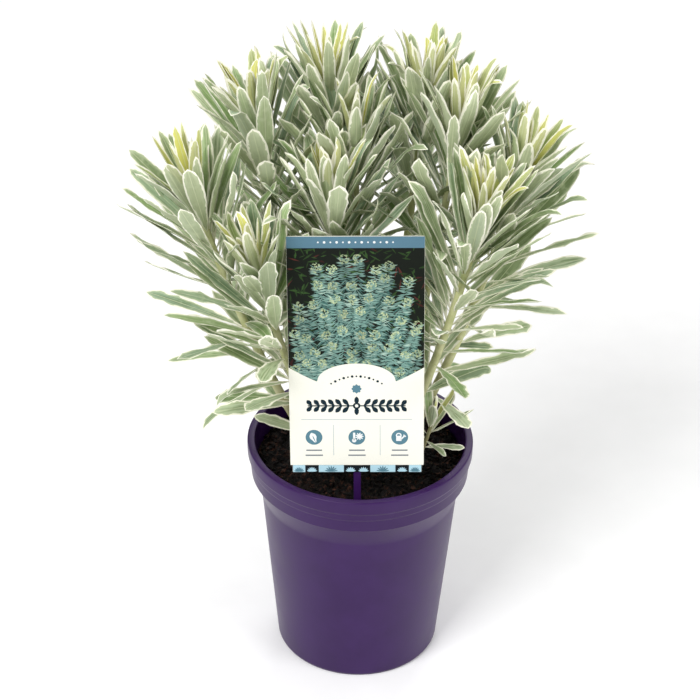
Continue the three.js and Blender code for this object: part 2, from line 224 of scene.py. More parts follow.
def dress(piece: bpy.types.Object, material: bpy.types.Material, slot: str, *nodes: str) -> None:
    """Gives a piece its material and its body, and hides the nodes that it stands for.

    Args:
        piece: The finished object.
        material: Its only material.
        slot: The record's material slot. Not used.
        nodes: Names of the plain solids that it replaces.
    """
    piece.data.materials.clear()
    piece.data.materials.append(material)
    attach(piece, BODY)
    if nodes:
        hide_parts(*nodes)
    log.info("%s: %d faces", piece.name, len(piece.data.polygons))


def rounded(points: list[Point], radius: float, steps: int = 4) -> list[Point]:
    """Rounds the inner corners of an open outline.

    Args:
        points: The outline's corners.
        radius: How far from a corner its rounding starts, less where the corners are close.
        steps: Pieces in each rounded corner.

    Returns:
        The outline's points.
    """
    most = 0.45  # the share of a side that one corner's rounding may take
    result = [points[0]]
    for before, corner, after in zip(points, points[1:], points[2:]):
        here = Vector(corner)
        back = Vector(before) - here
        ahead = Vector(after) - here
        start = here + back.normalized() * min(radius, back.length * most)
        end = here + ahead.normalized() * min(radius, ahead.length * most)
        for i in range(steps + 1):
            t = i / steps
            bend = start * (1 - t) ** 2 + here * (2 * t * (1 - t)) + end * t**2
            result.append((bend.x, bend.y))
    return result + [points[-1]]


def turned(name: str, profile: list[Point], segments: int) -> bpy.types.Object:
    """Turns a profile about the Z axis by extruding a ring from point to point.

    Args:
        name: Name of the new object.
        profile: Radius and height of each ring, none of them on the axis.
        segments: Sides of each ring.

    Returns:
        A closed object, with a fan of faces over its first and last ring.
    """
    deselect_all()
    radius, height = profile[0]
    bpy.ops.mesh.primitive_circle_add(vertices=segments, radius=radius, location=(0, 0, height))
    piece = started(name)
    edit_all("EDGE")
    for ring, following in zip(profile, profile[1:]):
        extrude()
        grow = following[0] / ring[0]
        bpy.ops.transform.resize(value=(grow, grow, 1), center_override=(0, 0, ring[1]))
        bpy.ops.transform.translate(value=(0, 0, following[1] - ring[1]))
    bpy.ops.mesh.edge_face_add()
    bpy.ops.mesh.poke()
    select_where(piece, "VERT", lambda v: v.index < segments)
    bpy.ops.mesh.edge_face_add()
    bpy.ops.mesh.poke()
    deselect_all()
    return piece


@dataclass
class Shape:
    """A small shape that was modelled once: its vertices and its faces."""

    points: np.ndarray
    faces: list[list[int]]

    @classmethod
    def taken(cls, piece: bpy.types.Object) -> "Shape":
        """Takes the shape of an object, and removes the object.

        Args:
            piece: The object.

        Returns:
            Its shape.
        """
        deselect_all()
        points = np.array([v.co for v in piece.data.vertices])
        faces = [list(p.vertices) for p in piece.data.polygons]
        bpy.data.objects.remove(piece)
        return cls(points, faces)


@dataclass
class Batch:
    """Copies of small shapes, gathered into one mesh with the attributes that its shader reads."""

    points: list[np.ndarray] = field(default_factory=list)
    faces: list[list[int]] = field(default_factory=list)
    paints: dict[str, list[np.ndarray]] = field(default_factory=dict)
    count: int = 0

    def add(self, shape: Shape, points: np.ndarray, **paints: Any) -> None:
        """Adds a copy.

        Args:
            shape: The shape that is copied.
            points: The copy's own vertices.
            paints: Three numbers by attribute name, for the copy or for each of its vertices.
        """
        self.faces += [[i + self.count for i in face] for face in shape.faces]
        self.points.append(points)
        self.count += len(points)
        for name, values in paints.items():
            rows = np.broadcast_to(values, (len(points), 3))
            self.paints.setdefault(name, []).append(rows)

    def piece(self, name: str) -> bpy.types.Object:
        """Makes one object of all the copies.

        Args:
            name: Name of the object and of its mesh.

        Returns:
            The object, with the attributes of all the copies.
        """
        mesh = bpy.data.meshes.new(name)
        mesh.from_pydata(np.concatenate(self.points).tolist(), [], self.faces)
        piece = bpy.data.objects.new(name, mesh)
        bpy.context.scene.collection.objects.link(piece)
        for attribute, rows in self.paints.items():
            paint(piece, attribute, np.concatenate(rows))
        return piece


def paint(piece: bpy.types.Object, attribute: str, values: np.ndarray) -> None:
    """Stores three numbers for each vertex as a colour attribute.

    Args:
        piece: The object to paint.
        attribute: Name of the attribute, which its material reads.
        values: Rows of three numbers, one row for each vertex.
    """
    layer = piece.data.attributes.new(attribute, "FLOAT_COLOR", "POINT")
    flat = np.concatenate([values, np.ones((len(values), 1))], axis=1)
    layer.data.foreach_set("color", flat.astype(np.float32).ravel())


# ---- Finishes -----------------------------------------------------------------------------------
@dataclass(frozen=True)
class Finish:
    """A surface finish. Each kind below names its real material and makes its shader."""

    name: str

    def surface(self, add: Callable[..., Any]) -> Inputs:
        """The shader's inputs, made with the nodes that they need.

        Args:
            add: Adds a node, as add_node does, to this finish's material.

        Returns:
            A value or a socket for each input.
        """
        raise NotImplementedError

    def material(self) -> bpy.types.Material:
        """Makes the material with this finish.

        Returns:
            The new material.
        """
        material = bpy.data.materials.new(self.name)
        material.use_nodes = True
        material.node_tree.nodes.clear()
        add = partial(add_node, material.node_tree)
        shader = add("BsdfPrincipled", self.surface(add))
        add("OutputMaterial", {"Surface": shader["BSDF"]})
        return material


@dataclass(frozen=True)
class MouldedPolypropylene(Finish):
    """Injection-moulded polypropylene. Its satin skin turns pale where it is seen edge on.

    Slow cooling marks cloud the gloss, and the spark-eroded mould leaves a fine grain.
    """

    name: str = "moulded_polypropylene"
    colour: str = "#30134A"
    cloud: str = "#371A53"
    roughness: float = 0.33
    gloss: Point = (0.95, 1.2)  # factors on the roughness, where the clouds are thin and thick
    refraction: float = 1.49
    specular: float = 0.26
    cloud_size: float = 26 * MM
    grain_size: float = 0.6 * MM  # the real grain is finer, and is drawn coarse so it shows
    grain_depth: float = 0.1 * MM

    def surface(self, add: Callable[..., Any]) -> Inputs:
        """Clouds in colour and gloss, and a fine grain.

        Args:
            add: Adds a node to this finish's material.

        Returns:
            A value or a socket for each input of the shader.
        """
        place = add("TexCoord")["Object"]
        clouds = add(
            "TexNoise",
            {"Vector": place, "Scale": 1 / self.cloud_size, "Detail": 4.0, "Roughness": 0.6},
        )["Fac"]
        colour = add("ValToRGB", {0: clouds}, [(0.35, self.colour), (0.75, self.cloud)])["Color"]
        thin, thick = self.gloss
        gloss = {"From Min": 0.3, "From Max": 0.7, "To Min": thin, "To Max": thick}
        spread = add("MapRange", {"Value": clouds, **gloss})["Result"]
        roughness = add("Math", {0: spread, 1: self.roughness}, operation="MULTIPLY")["Value"]
        grain = add("TexNoise", {"Vector": place, "Scale": 1 / self.grain_size, "Detail": 1.0})
        relief = {"Height": grain["Fac"], "Strength": 0.1, "Distance": self.grain_depth}
        return {
            "Base Color": colour,
            "Roughness": roughness,
            "Normal": add("Bump", relief)["Normal"],
            "IOR": self.refraction,
            "Specular IOR Level": self.specular,
        }


@dataclass(frozen=True)
class BarkMix(Finish):
    """Damp composted bark and peat: near black, with rusty fibres and a slight wet glint."""

    name: str = "bark_mix"
    dark: str = "#020101"
    mid: str = "#110A08"
    rust: str = "#5A382B"
    roughness: float = 0.7
    specular: float = 0.2
    crumb_size: float = 2.6 * MM
    fibre_size: float = 2.6 * MM / 2.4  # under half a crumb
    fibre_depth: float = 1 * MM

    def surface(self, add: Callable[..., Any]) -> Inputs:
        """Crumbs of their own shade, crossed by fibres.

        Args:
            add: Adds a node to this finish's material.

        Returns:
            A value or a socket for each input of the shader.
        """
        place = add("TexCoord")["Object"]
        crumbs = add("TexVoronoi", {"Vector": place, "Scale": 1 / self.crumb_size})["Color"]
        fibres = add(
            "TexNoise",
            {"Vector": place, "Scale": 1 / self.fibre_size, "Detail": 6.0, "Roughness": 0.7},
        )["Fac"]
        shade = add("Math", {0: crumbs, 1: fibres}, operation="MULTIPLY")["Value"]
        stops = [(0.14, self.dark), (0.34, self.mid), (0.56, self.rust)]
        colour = add("ValToRGB", {0: shade}, stops)["Color"]
        relief = {"Height": fibres, "Strength": 0.8, "Distance": self.fibre_depth}
        return {
            "Base Color": colour,
            "Normal": add("Bump", relief)["Normal"],
            "Roughness": self.roughness,
            "Specular IOR Level": self.specular,
        }


@dataclass(frozen=True)
class LivingLeaf(Finish):
    """A variegated leaf: sage blade, ragged cream margin, pale midrib and a waxy satin skin.

    It reads two attributes. "leaf" holds the distances to the margin and to the midrib in
    millimetres and the share of the leaf's length. "growth" holds age, luck and underside.
    """

    name: str = "living_leaf"
    sage: str = "#9FB083"
    deep: str = "#657A4C"
    pale: str = "#C0CCA8"
    cream: str = "#FBF9E8"
    young: str = "#D3D068"
    rib: str = "#D3D9B4"
    under: str = "#C2C7A6"
    green: str = "#84AB5C"
    blue: str = "#93AF9C"
    roughness: float = 0.5
    specular: float = 0.35
    margin: float = 0.78  # millimetres of cream along the edge
    patch_size: float = 5 * MM
    streak_size: float = 1.1 * MM
    relief_depth: float = 0.5 * MM

    def surface(self, add: Callable[..., Any]) -> Inputs:
        """Layers of colour over the sage blade, and a relief of ribs and streaks.

        Args:
            add: Adds a node to this finish's material.

        Returns:
            A value or a socket for each input of the shader.
        """
        place = add("TexCoord")["Object"]
        leaf = add("Attribute", attribute_name="leaf")["Vector"]
        growth = add("Attribute", attribute_name="growth")["Vector"]
        edge, rib, share = add("SeparateXYZ", {0: leaf})
        age, luck, under = add("SeparateXYZ", {0: growth})
        # A second chance, drawn from the first, makes some leaves greener and some bluer.
        spun = add("Math", {0: luck, 1: 53.0}, operation="MULTIPLY")["Value"]
        hue = add("Math", {0: spun}, operation="FRACT")["Value"]
        patches = add("TexNoise", {"Vector": place, "Scale": 1 / self.patch_size, "Detail": 3.0})
        # The streaks' space is the distance from the rib, a shortened length and the leaf's luck.
        along = add("CombineXYZ", {0: rib, 1: share, 2: luck})["Vector"]
        stretched = add("VectorMath", {0: along, 1: (1.0, 3.0, 40.0)}, operation="MULTIPLY")[0]
        streaks = add(
            "TexNoise",
            {"Vector": stretched, "Scale": MM / self.streak_size, "Detail": 3.0, "Roughness": 0.6},
        )

        # Distance to the margin, made ragged, and less on lucky leaves, whose margin is broad.
        reach = edge
        for source, amount, middle in (
            (patches["Fac"], 2.2, 0.5),
            (streaks["Fac"], 1.4, 0.5),
            (luck, -0.7, 0.35),
        ):
            offset = add("Math", {0: source, 1: middle}, operation="SUBTRACT")["Value"]
            scaled = {0: offset, 1: amount, 2: reach}
            reach = add("Math", scaled, operation="MULTIPLY_ADD")["Value"]

        # A layer has a colour, what it follows, where it is absent, where it is full and its most.
        colour: Any = self.sage
        for tone, source, absent, full, most in (
            (self.green, hue, 0.5, 0.9, 0.7),
            (self.blue, hue, 0.5, 0.1, 0.7),
            (self.deep, age, 0.35, 1.0, 0.45),
            (self.pale, luck, 0.45, 1.0, 0.75),
            (self.deep, luck, 0.4, 0.0, 0.6),
            (self.deep, streaks["Fac"], 0.42, 0.7, 0.75),
            (self.pale, reach, self.margin * 3.4, self.margin * 1.3, 0.7),
            (self.pale, patches["Fac"], 0.5, 0.75, 0.5),
            (self.young, age, 0.17, 0.05, 0.85),
            (self.under, under, 0.4, 0.6, 0.52),
            (self.rib, rib, 0.45, 0.1, 0.5),
            (self.cream, reach, self.margin + 0.22, self.margin - 0.12, 1.0),
        ):
            span = {"Value": source, "From Min": absent, "From Max": full, "To Max": most}
            factor = add("MapRange", span, interpolation_type="SMOOTHSTEP")["Result"]
            layer = {0: factor, 6: colour, 7: tone}
            colour = add("Mix", layer, data_type="RGBA")[2]

        ridge = {"Value": rib, "From Min": 0.9, "From Max": 0.0, "To Max": -0.6}
        groove = add("MapRange", ridge, interpolation_type="SMOOTHSTEP")["Result"]
        grain = {0: streaks["Fac"], 1: 0.35, 2: groove}
        relief = add("Math", grain, operation="MULTIPLY_ADD")["Value"]
        bump = {"Height": relief, "Strength": 0.5, "Distance": self.relief_depth}
        return {
            "Base Color": colour,
            "Normal": add("Bump", bump)["Normal"],
            "Roughness": self.roughness,
            "Specular IOR Level": self.specular,
        }


@dataclass(frozen=True)
class StemSkin(Finish):
    """Smooth succulent stem skin: yellow-green above, browner and corkier near the mix."""

    name: str = "stem_skin"
    fresh: str = "#B3B781"
    pale: str = "#CBCB9E"
    cork: str = "#85765A"
    cork_top: float = 215 * MM
    cork_foot: float = 145 * MM
    corkiness: float = 0.75
    roughness: float = 0.5
    blotch_size: float = 5 * MM
    blotch_depth: float = 0.4 * MM

    def surface(self, add: Callable[..., Any]) -> Inputs:
        """Blotches, and cork that fades with height.

        Args:
            add: Adds a node to this finish's material.

        Returns:
            A value or a socket for each input of the shader.
        """
        place = add("TexCoord")["Object"]
        noise = {"Vector": place, "Scale": 1 / self.blotch_size, "Detail": 4.0}
        blotches = add("TexNoise", noise)["Fac"]
        skin = add("ValToRGB", {0: blotches}, [(0.35, self.fresh), (0.7, self.pale)])["Color"]
        height = add("SeparateXYZ", {0: place})["Z"]
        span = {"From Min": self.cork_top, "From Max": self.cork_foot, "To Max": self.corkiness}
        corky = add("MapRange", {"Value": height, **span})["Result"]
        colour = add("Mix", {0: corky, 6: skin, 7: self.cork}, data_type="RGBA")[2]
        relief = {"Height": blotches, "Strength": 0.4, "Distance": self.blotch_depth}
        normal = add("Bump", relief)["Normal"]
        return {"Base Color": colour, "Normal": normal, "Roughness": self.roughness}


@dataclass(frozen=True)
class PrintedCard(Finish):
    """Polystyrene sheet with litho ink under varnish: even, bright colour and a soft shine.

    The ink's colour comes from the attribute "ink".
    """

    name: str = "printed_card"
    roughness: float = 0.6
    specular: float = 0.15
    brightness: Point = (0.76, 0.8)  # lowest and highest factor on the ink's brightness
    screen_size: float = 0.5 * MM  # a real print screen is finer, and is drawn coarse so it shows

    def surface(self, add: Callable[..., Any]) -> Inputs:
        """The ink, faintly mottled by its print screen.

        Args:
            add: Adds a node to this finish's material.

        Returns:
            A value or a socket for each input of the shader.
        """
        place = add("TexCoord")["Object"]
        ink = add("Attribute", attribute_name="ink")["Color"]
        screen = add("TexNoise", {"Vector": place, "Scale": 1 / self.screen_size, "Detail": 1.0})
        least, most = self.brightness
        span = {"From Min": 0.3, "From Max": 0.7, "To Min": least, "To Max": most}
        value = add("MapRange", {"Value": screen["Fac"], **span})["Result"]
        colour = add("HueSaturation", {"Color": ink, "Value": value})["Color"]
        return {
            "Base Color": colour,
            "Roughness": self.roughness,
            "Specular IOR Level": self.specular,
        }


@dataclass(frozen=True)
class StudioPaper(Finish):
    """Matt white background paper with the faintest fibre mottle."""

    name: str = "studio_paper"
    light: str = "#FEFEFE"
    shade: str = "#FBFBFB"
    roughness: float = 0.9
    mottle_size: float = 33 * MM

    def surface(self, add: Callable[..., Any]) -> Inputs:
        """A mottle that is just seen.

        Args:
            add: Adds a node to this finish's material.

        Returns:
            A value or a socket for each input of the shader.
        """
        place = add("TexCoord")["Object"]
        mottle = add("TexNoise", {"Vector": place, "Scale": 1 / self.mottle_size})["Fac"]
        colour = add("ValToRGB", {0: mottle}, [(0.3, self.shade), (0.7, self.light)])["Color"]
        return {"Base Color": colour, "Roughness": self.roughness}


# ---- Pot and mix --------------------------------------------------------------------------------
@dataclass
class NurseryPot:
    """The tapered pot with its stepped collar and flat-topped rim."""

    finish: MouldedPolypropylene
    height: float = 150 * MM
    rim_radius: float = 70 * MM
    rim_width: float = 4.8 * MM
    lip_depth: float = 9 * MM
    step_depth: float = 14 * MM
    collar_depth: float = 23 * MM
    shoulder_depth: float = 38 * MM
    shoulder_radius: float = 61.2 * MM
    collar_inset: float = 2.9 * MM  # how far the collar's foot lies inside the rim
    step_inset: float = 1.9 * MM
    lip_inset: float = 1.0 * MM
    ledge: float = 0.45 * MM  # the small slopes that soften each step
    draft: float = 0.15 * MM  # how far an upright face leans, so that the pot leaves its mould
    base_radius: float = 51 * MM
    wall: float = 1.6 * MM
    pad_radius: float = 30 * MM
    foot_radius: float = 44 * MM
    channel: float = 2.5 * MM
    drain_holes: int = 8
    drain_radius: float = 4.5 * MM
    drill_sides: int = 32
    corner: float = 0.9 * MM
    axis_ring: float = 0.5 * MM  # radius of the small rings that close the pot on its axis
    segments: int = 144

    def tapered(self, height: float) -> float:
        """Inner radius of the straight wall at a height."""
        slope = (self.shoulder_radius - self.base_radius) / (self.height - self.shoulder_depth)
        return self.base_radius + slope * height - self.wall

    def shoulder(self, steps: int = 8) -> list[Point]:
        """The smooth sweep from the straight wall out to the collar's foot.

        Args:
            steps: Pieces in the sweep.

        Returns:
            Radius and height of each point.
        """
        low = self.height - self.shoulder_depth
        rise = self.shoulder_depth - self.collar_depth
        spread = self.rim_radius - self.collar_inset - self.shoulder_radius
        points = []
        for i in range(steps + 1):
            t = i / steps
            points.append((self.shoulder_radius + spread * t**1.2, low + rise * t))
        return points

    def profile(self) -> list[Point]:
        """The pot's half section, from the pad under its base round to the floor inside.

        Returns:
            Radius and height of each point.
        """
        top = self.height
        rim = self.rim_radius
        bore = rim - self.rim_width
        shoulder = top - self.shoulder_depth
        floor = self.channel + self.wall
        ledge = self.ledge
        outside = [
            (self.axis_ring, 0),
            (self.pad_radius, 0),
            (self.pad_radius + 2 * ledge, self.channel),
            (self.foot_radius - 2 * ledge, self.channel),
            (self.foot_radius, 0),
            (self.base_radius - 1 * MM, 0),
            (self.base_radius + self.draft, 2 * MM),
            *self.shoulder(),
            (rim - self.collar_inset + ledge, top - self.collar_depth + ledge / 2),
            (rim - self.step_inset, top - self.step_depth - ledge),
            (rim - self.step_inset + ledge, top - self.step_depth),
            (rim - self.lip_inset, top - self.lip_depth - ledge),
            (rim - self.draft, top - self.lip_depth + ledge / 2),
            (rim, top - 3 * MM),
            (rim - 0.1 * MM, top),
        ]
        inside = [
            (bore + 0.1 * MM, top),
            (bore - 0.1 * MM, top - 3 * MM),
            (bore - 0.6 * MM, top - self.collar_depth),
            (self.tapered(shoulder), shoulder),
            (self.tapered(floor), floor),
            (self.axis_ring, floor),
        ]
        return rounded(outside + inside, self.corner)

    def build(self) -> None:
        """Turns the pot, drills its drain holes and dresses it."""
        pot = turned("nursery_pot", self.profile(), self.segments)
        deselect_all()
        drills = []
        distance = (self.pad_radius + self.foot_radius) / 2
        for i in range(self.drain_holes):
            angle = (i + 0.5) * math.tau / self.drain_holes
            place = (distance * math.cos(angle), distance * math.sin(angle), self.channel)
            bpy.ops.mesh.primitive_cylinder_add(
                vertices=self.drill_sides,
                radius=self.drain_radius,
                depth=4 * self.channel,
                location=place,
            )
            drills.append(bpy.context.active_object)
        activate(*drills)
        bpy.ops.object.join()
        apply_modifier(pot, "BOOLEAN", operation="DIFFERENCE", solver="EXACT", object=drills[0])
        bpy.data.objects.remove(drills[0])
        dress(settle(pot, 35), self.finish.material(), "pot_plastic", "pot")


@dataclass(frozen=True)
class CrumbKind:
    """A kind of loose crumb: its share of all crumbs, and its length, breadth and depth."""

    name: str
    share: float
    proportions: tuple[float, float, float]


@dataclass
class PottingMix:
    """The root ball of bark mix, with loose crumbs over its top."""

    finish: BarkMix
    pot: NurseryPot
    level: float = 134 * MM
    gap: float = 0.3 * MM
    rings: int = 34
    segments: int = 120
    lumps: tuple[Point, ...] = ((17 * MM, 6 * MM), (5 * MM, 6 * MM))  # their size and height
    crumbs: int = 3200
    smallest: float = 1.2 * MM
    growth: float = 3.4 * MM  # from the smallest crumb to the largest
    dent: float = 0.14
    tumble: float = 0.45  # spread of the crumbs' tilt, in radians
    rise: float = 0.25  # share of its size by which a crumb's middle lies over the ball
    kinds: tuple[CrumbKind, ...] = (
        CrumbKind("grains", 0.6, (1.0, 0.8, 0.65)),
        CrumbKind("flakes", 0.28, (1.7, 0.8, 0.4)),
        CrumbKind("fibres", 0.12, (3.4, 0.45, 0.4)),
    )

    def build(self) -> None:
        """Makes the ball and scatters the crumbs on it."""
        material = self.finish.material()
        ball = self.root_ball()
        dress(ball, material, "potting_mix", "potting_mix")
        surface = BVHTree.FromObject(ball, bpy.context.evaluated_depsgraph_get())
        for number, kind in enumerate(self.kinds):
            dress(self.scatter(number, kind, surface), material, "potting_mix")

    def root_ball(self) -> bpy.types.Object:
        """The solid ball: its side follows the pot and its top is lumpy.

        Returns:
            The ball's object.
        """
        pot = self.pot
        floor = pot.channel + pot.wall + self.gap
        shoulder = pot.height - pot.shoulder_depth
        edge = pot.rim_radius - pot.rim_width - 3 * self.gap
        profile = [
            (pot.axis_ring, floor),
            (pot.tapered(floor) - self.gap, floor),
            (pot.tapered(shoulder) - self.gap, shoulder),
            (edge, pot.height - pot.collar_depth),
            (edge, self.level - 1.5 * MM),
        ]
        for i in range(1, self.rings + 1):
            profile.append((edge - (edge - pot.axis_ring) * i / self.rings, self.level))
        ball = turned("root_ball", profile, self.segments)
        top = ball.vertex_groups.new(name="top")
        lift = self.level - 0.1 * MM
        top.add([v.index for v in ball.data.vertices if v.co.z > lift], 1.0, "REPLACE")
        for size, strength in self.lumps:
            clouds = bpy.data.textures.new("mix_lumps", "CLOUDS")
            clouds.noise_scale = size
            clouds.noise_depth = 2
            apply_modifier(
                ball,
                "DISPLACE",
                texture=clouds,
                texture_coords="LOCAL",
                direction="Z",
                vertex_group=top.name,
                strength=strength,
            )
        return settle(ball, 180)

    def crumb(self, number: int) -> Shape:
        """One rough crumb about a unit across: a dented low sphere.

        Args:
            number: Number of the kind, which seeds its dents.

        Returns:
            The crumb's shape.
        """
        deselect_all()
        bpy.ops.mesh.primitive_ico_sphere_add(subdivisions=1, radius=0.5)
        crumb = started("crumb")
        edit_all()
        bpy.ops.transform.vertex_random(offset=self.dent, uniform=1.0, normal=0.0, seed=number + 1)
        return Shape.taken(crumb)

    def scatter(self, number: int, kind: CrumbKind, surface: BVHTree) -> bpy.types.Object:
        """Scatters crumbs of one kind over the ball's top.

        Args:
            number: Number of the kind, which seeds its chance.
            kind: The kind.
            surface: The ball that they lie on.

        Returns:
            One object of all the crumbs.
        """
        chance = np.random.default_rng(20 + number)
        crumb = self.crumb(number)
        reach = self.pot.rim_radius - self.pot.rim_width - 2.5 * MM
        batch = Batch()
        for _ in range(int(self.crumbs * kind.share)):
            radius = reach * math.sqrt(chance.random())
            angle = chance.random() * math.tau
            size = self.smallest + self.growth * chance.random() ** 1.8
            turn = Matrix.Rotation(chance.random() * math.tau, 3, "Z")
            turn = turn @ Matrix.Rotation(chance.normal() * self.tumble, 3, "X")
            turn = turn @ Matrix.Rotation(chance.normal() * self.tumble, 3, "Y")
            above = Vector((radius * math.cos(angle), radius * math.sin(angle), self.pot.height))
            hit = surface.ray_cast(above, Vector((0, 0, -1)))[0]
            shape = crumb.points * np.array(kind.proportions) * size
            middle = np.array(hit) + [0, 0, size * self.rise]
            batch.add(crumb, shape @ np.array(turn).T + middle)
        return settle(batch.piece(f"bark_{kind.name}"), None)


# ---- Plant label --------------------------------------------------------------------------------
class Ink(Enum):
    """The colours that the label is printed in."""

    CARD = "#FFFEF2"
    HEADER = "#5D8397"
    NIGHT = "#10170F"
    MOSS = "#3A5A2C"
    BERRY = "#5C2E29"
    BLUE = "#5C8797"
    RULE = "#A4B6BF"
    GREY = "#7D868B"
    WHITE = "#F8FCFC"
    NAVY = "#0C2733"
    TILE = "#BDE4F2"
    TILE_DARK = "#0B161D"
    LEAF_PALE = "#A7C4B6"
    LEAF_TEAL = "#7A9F95"
    LEAF_DEEP = "#4A736C"
    LEAF_SHADE = "#203C38"
    FLOWER = "#9DB28C"
    FLOWER_PALE = "#C0CCA0"


@dataclass
class Print:
    """Printed shapes on the label's face, stamped as very low solids from a few dies.

    Positions are in millimetres: x right of the card's centre line, y up from the mix. A shape's
    height over the face says which lies over which.
    """

    face: float
    limits: tuple[float, float, float, float]  # left, low, right and high edge of the printed area
    root: float = 0.05  # how deep a shape stands in the card, and the least breadth it may have
    batch: Batch = field(default_factory=Batch)

    def __post_init__(self) -> None:
        """Models the dies: a box, a disc, a leaf and a small plain leaf."""
        self.box_die = self.die(4, math.radians(45), math.sqrt(2))
        self.disc_die = self.die(36, 0, 1)
        self.leaf_die = self.leaf_shaped(self.die(12, 0, 1))
        self.small_die = self.leaf_shaped(self.die(6, 0, 1))

    def die(self, sides: int, turn: float, radius: float) -> Shape:
        """A low prism about two units across and one high, standing on zero.

        Args:
            sides: Its number of sides.
            turn: Its angle in radians.
            radius: Radius of its corners.

        Returns:
            The prism's shape.
        """
        deselect_all()
        bpy.ops.mesh.primitive_cylinder_add(
            vertices=sides, radius=radius, depth=1, location=(0, 0, 0.5), rotation=(0, 0, turn)
        )
        return Shape.taken(started("die"))

    def leaf_shaped(self, die: Shape) -> Shape:
        """Makes a round die a leaf one unit long from zero along x, and one unit wide.

        Args:
            die: The round die, which is changed.

        Returns:
            The same die.
        """
        along = (die.points[:, 0] - die.points[:, 0].min()) / np.ptp(die.points[:, 0])
        across = np.sign(die.points[:, 1].round(4)) * np.sin(math.pi * along**1.4) ** 0.8 / 2
        die.points[:, 0] = along
        die.points[:, 1] = across + 0.1 * np.sign(die.points[:, 1].round(4)) * (along < 0.1)
        return die

    def stamp(
        self,
        die: Shape,
        place: Point,
        size: Point,
        height: float,
        ink: Ink,
        turn: float = 0,
        dim: float = 1.0,
    ) -> None:
        """Prints a die.

        Args:
            die: The die.
            place: Where its origin goes.
            size: Factors along and across it.
            height: Its height over the face.
            ink: Its colour.
            turn: Its angle in radians.
            dim: Factor on the colour's brightness.
        """
        x, y = die.points[:, 0] * size[0], die.points[:, 1] * size[1]
        left, low, right, high = self.limits
        across = np.clip(place[0] + x * math.cos(turn) - y * math.sin(turn), left, right)
        up = np.clip(place[1] + x * math.sin(turn) + y * math.cos(turn), low, high)
        if min(np.ptp(across), np.ptp(up)) < self.root:
            return
        rise = self.face - self.root + die.points[:, 2] * (height + self.root)
        colour = np.array(linear(ink.value)[:3]) * dim
        self.batch.add(die, np.stack([across, up, rise], axis=1) * MM, ink=colour)

    def box(
        self, left: float, low: float, right: float, high: float, height: float, ink: Ink
    ) -> None:
        """Prints a rectangle."""
        middle = ((left + right) / 2, (low + high) / 2)
        self.stamp(self.box_die, middle, ((right - left) / 2, (high - low) / 2), height, ink)

    def disc(self, place: Point, radius: float, height: float, ink: Ink) -> None:
        """Prints a round spot."""
        self.stamp(self.disc_die, place, (radius, radius), height, ink)

    def leaf(
        self, place: Point, turn: float, length: float, width: float, height: float, ink: Ink
    ) -> None:
        """Prints a pointed leaf from a place outwards."""
        self.stamp(self.leaf_die, place, (length, width), height, ink, turn)


@dataclass(frozen=True)
class Layers:
    """Heights over the card's face, in millimetres, at which the parts of its print lie."""

    ground: float = 0.02
    shrub: float = 0.03
    panel: float = 0.3
    detail: float = 0.33
    fine: float = 0.36
    apart: float = 0.001  # between shapes that overlap on one layer


@dataclass(frozen=True)
class Rows:
    """Places down the card, as shares of its height from the top."""

    header: float = 0.0235
    header_foot: float = 0.047
    picture: tuple[float, float] = (0.05, 0.61)
    first_spike: float = 0.115
    picture_foot: float = 0.62
    arch: float = 0.528
    side: float = 0.545
    notch: float = 0.604
    arc: float = 0.582
    star: float = 0.636
    laurel: float = 0.709
    rule: tuple[float, float] = (0.767, 0.769)
    dividers: tuple[float, float] = (0.792, 0.925)
    signs: float = 0.846
    captions: tuple[float, float] = (0.903, 0.925)


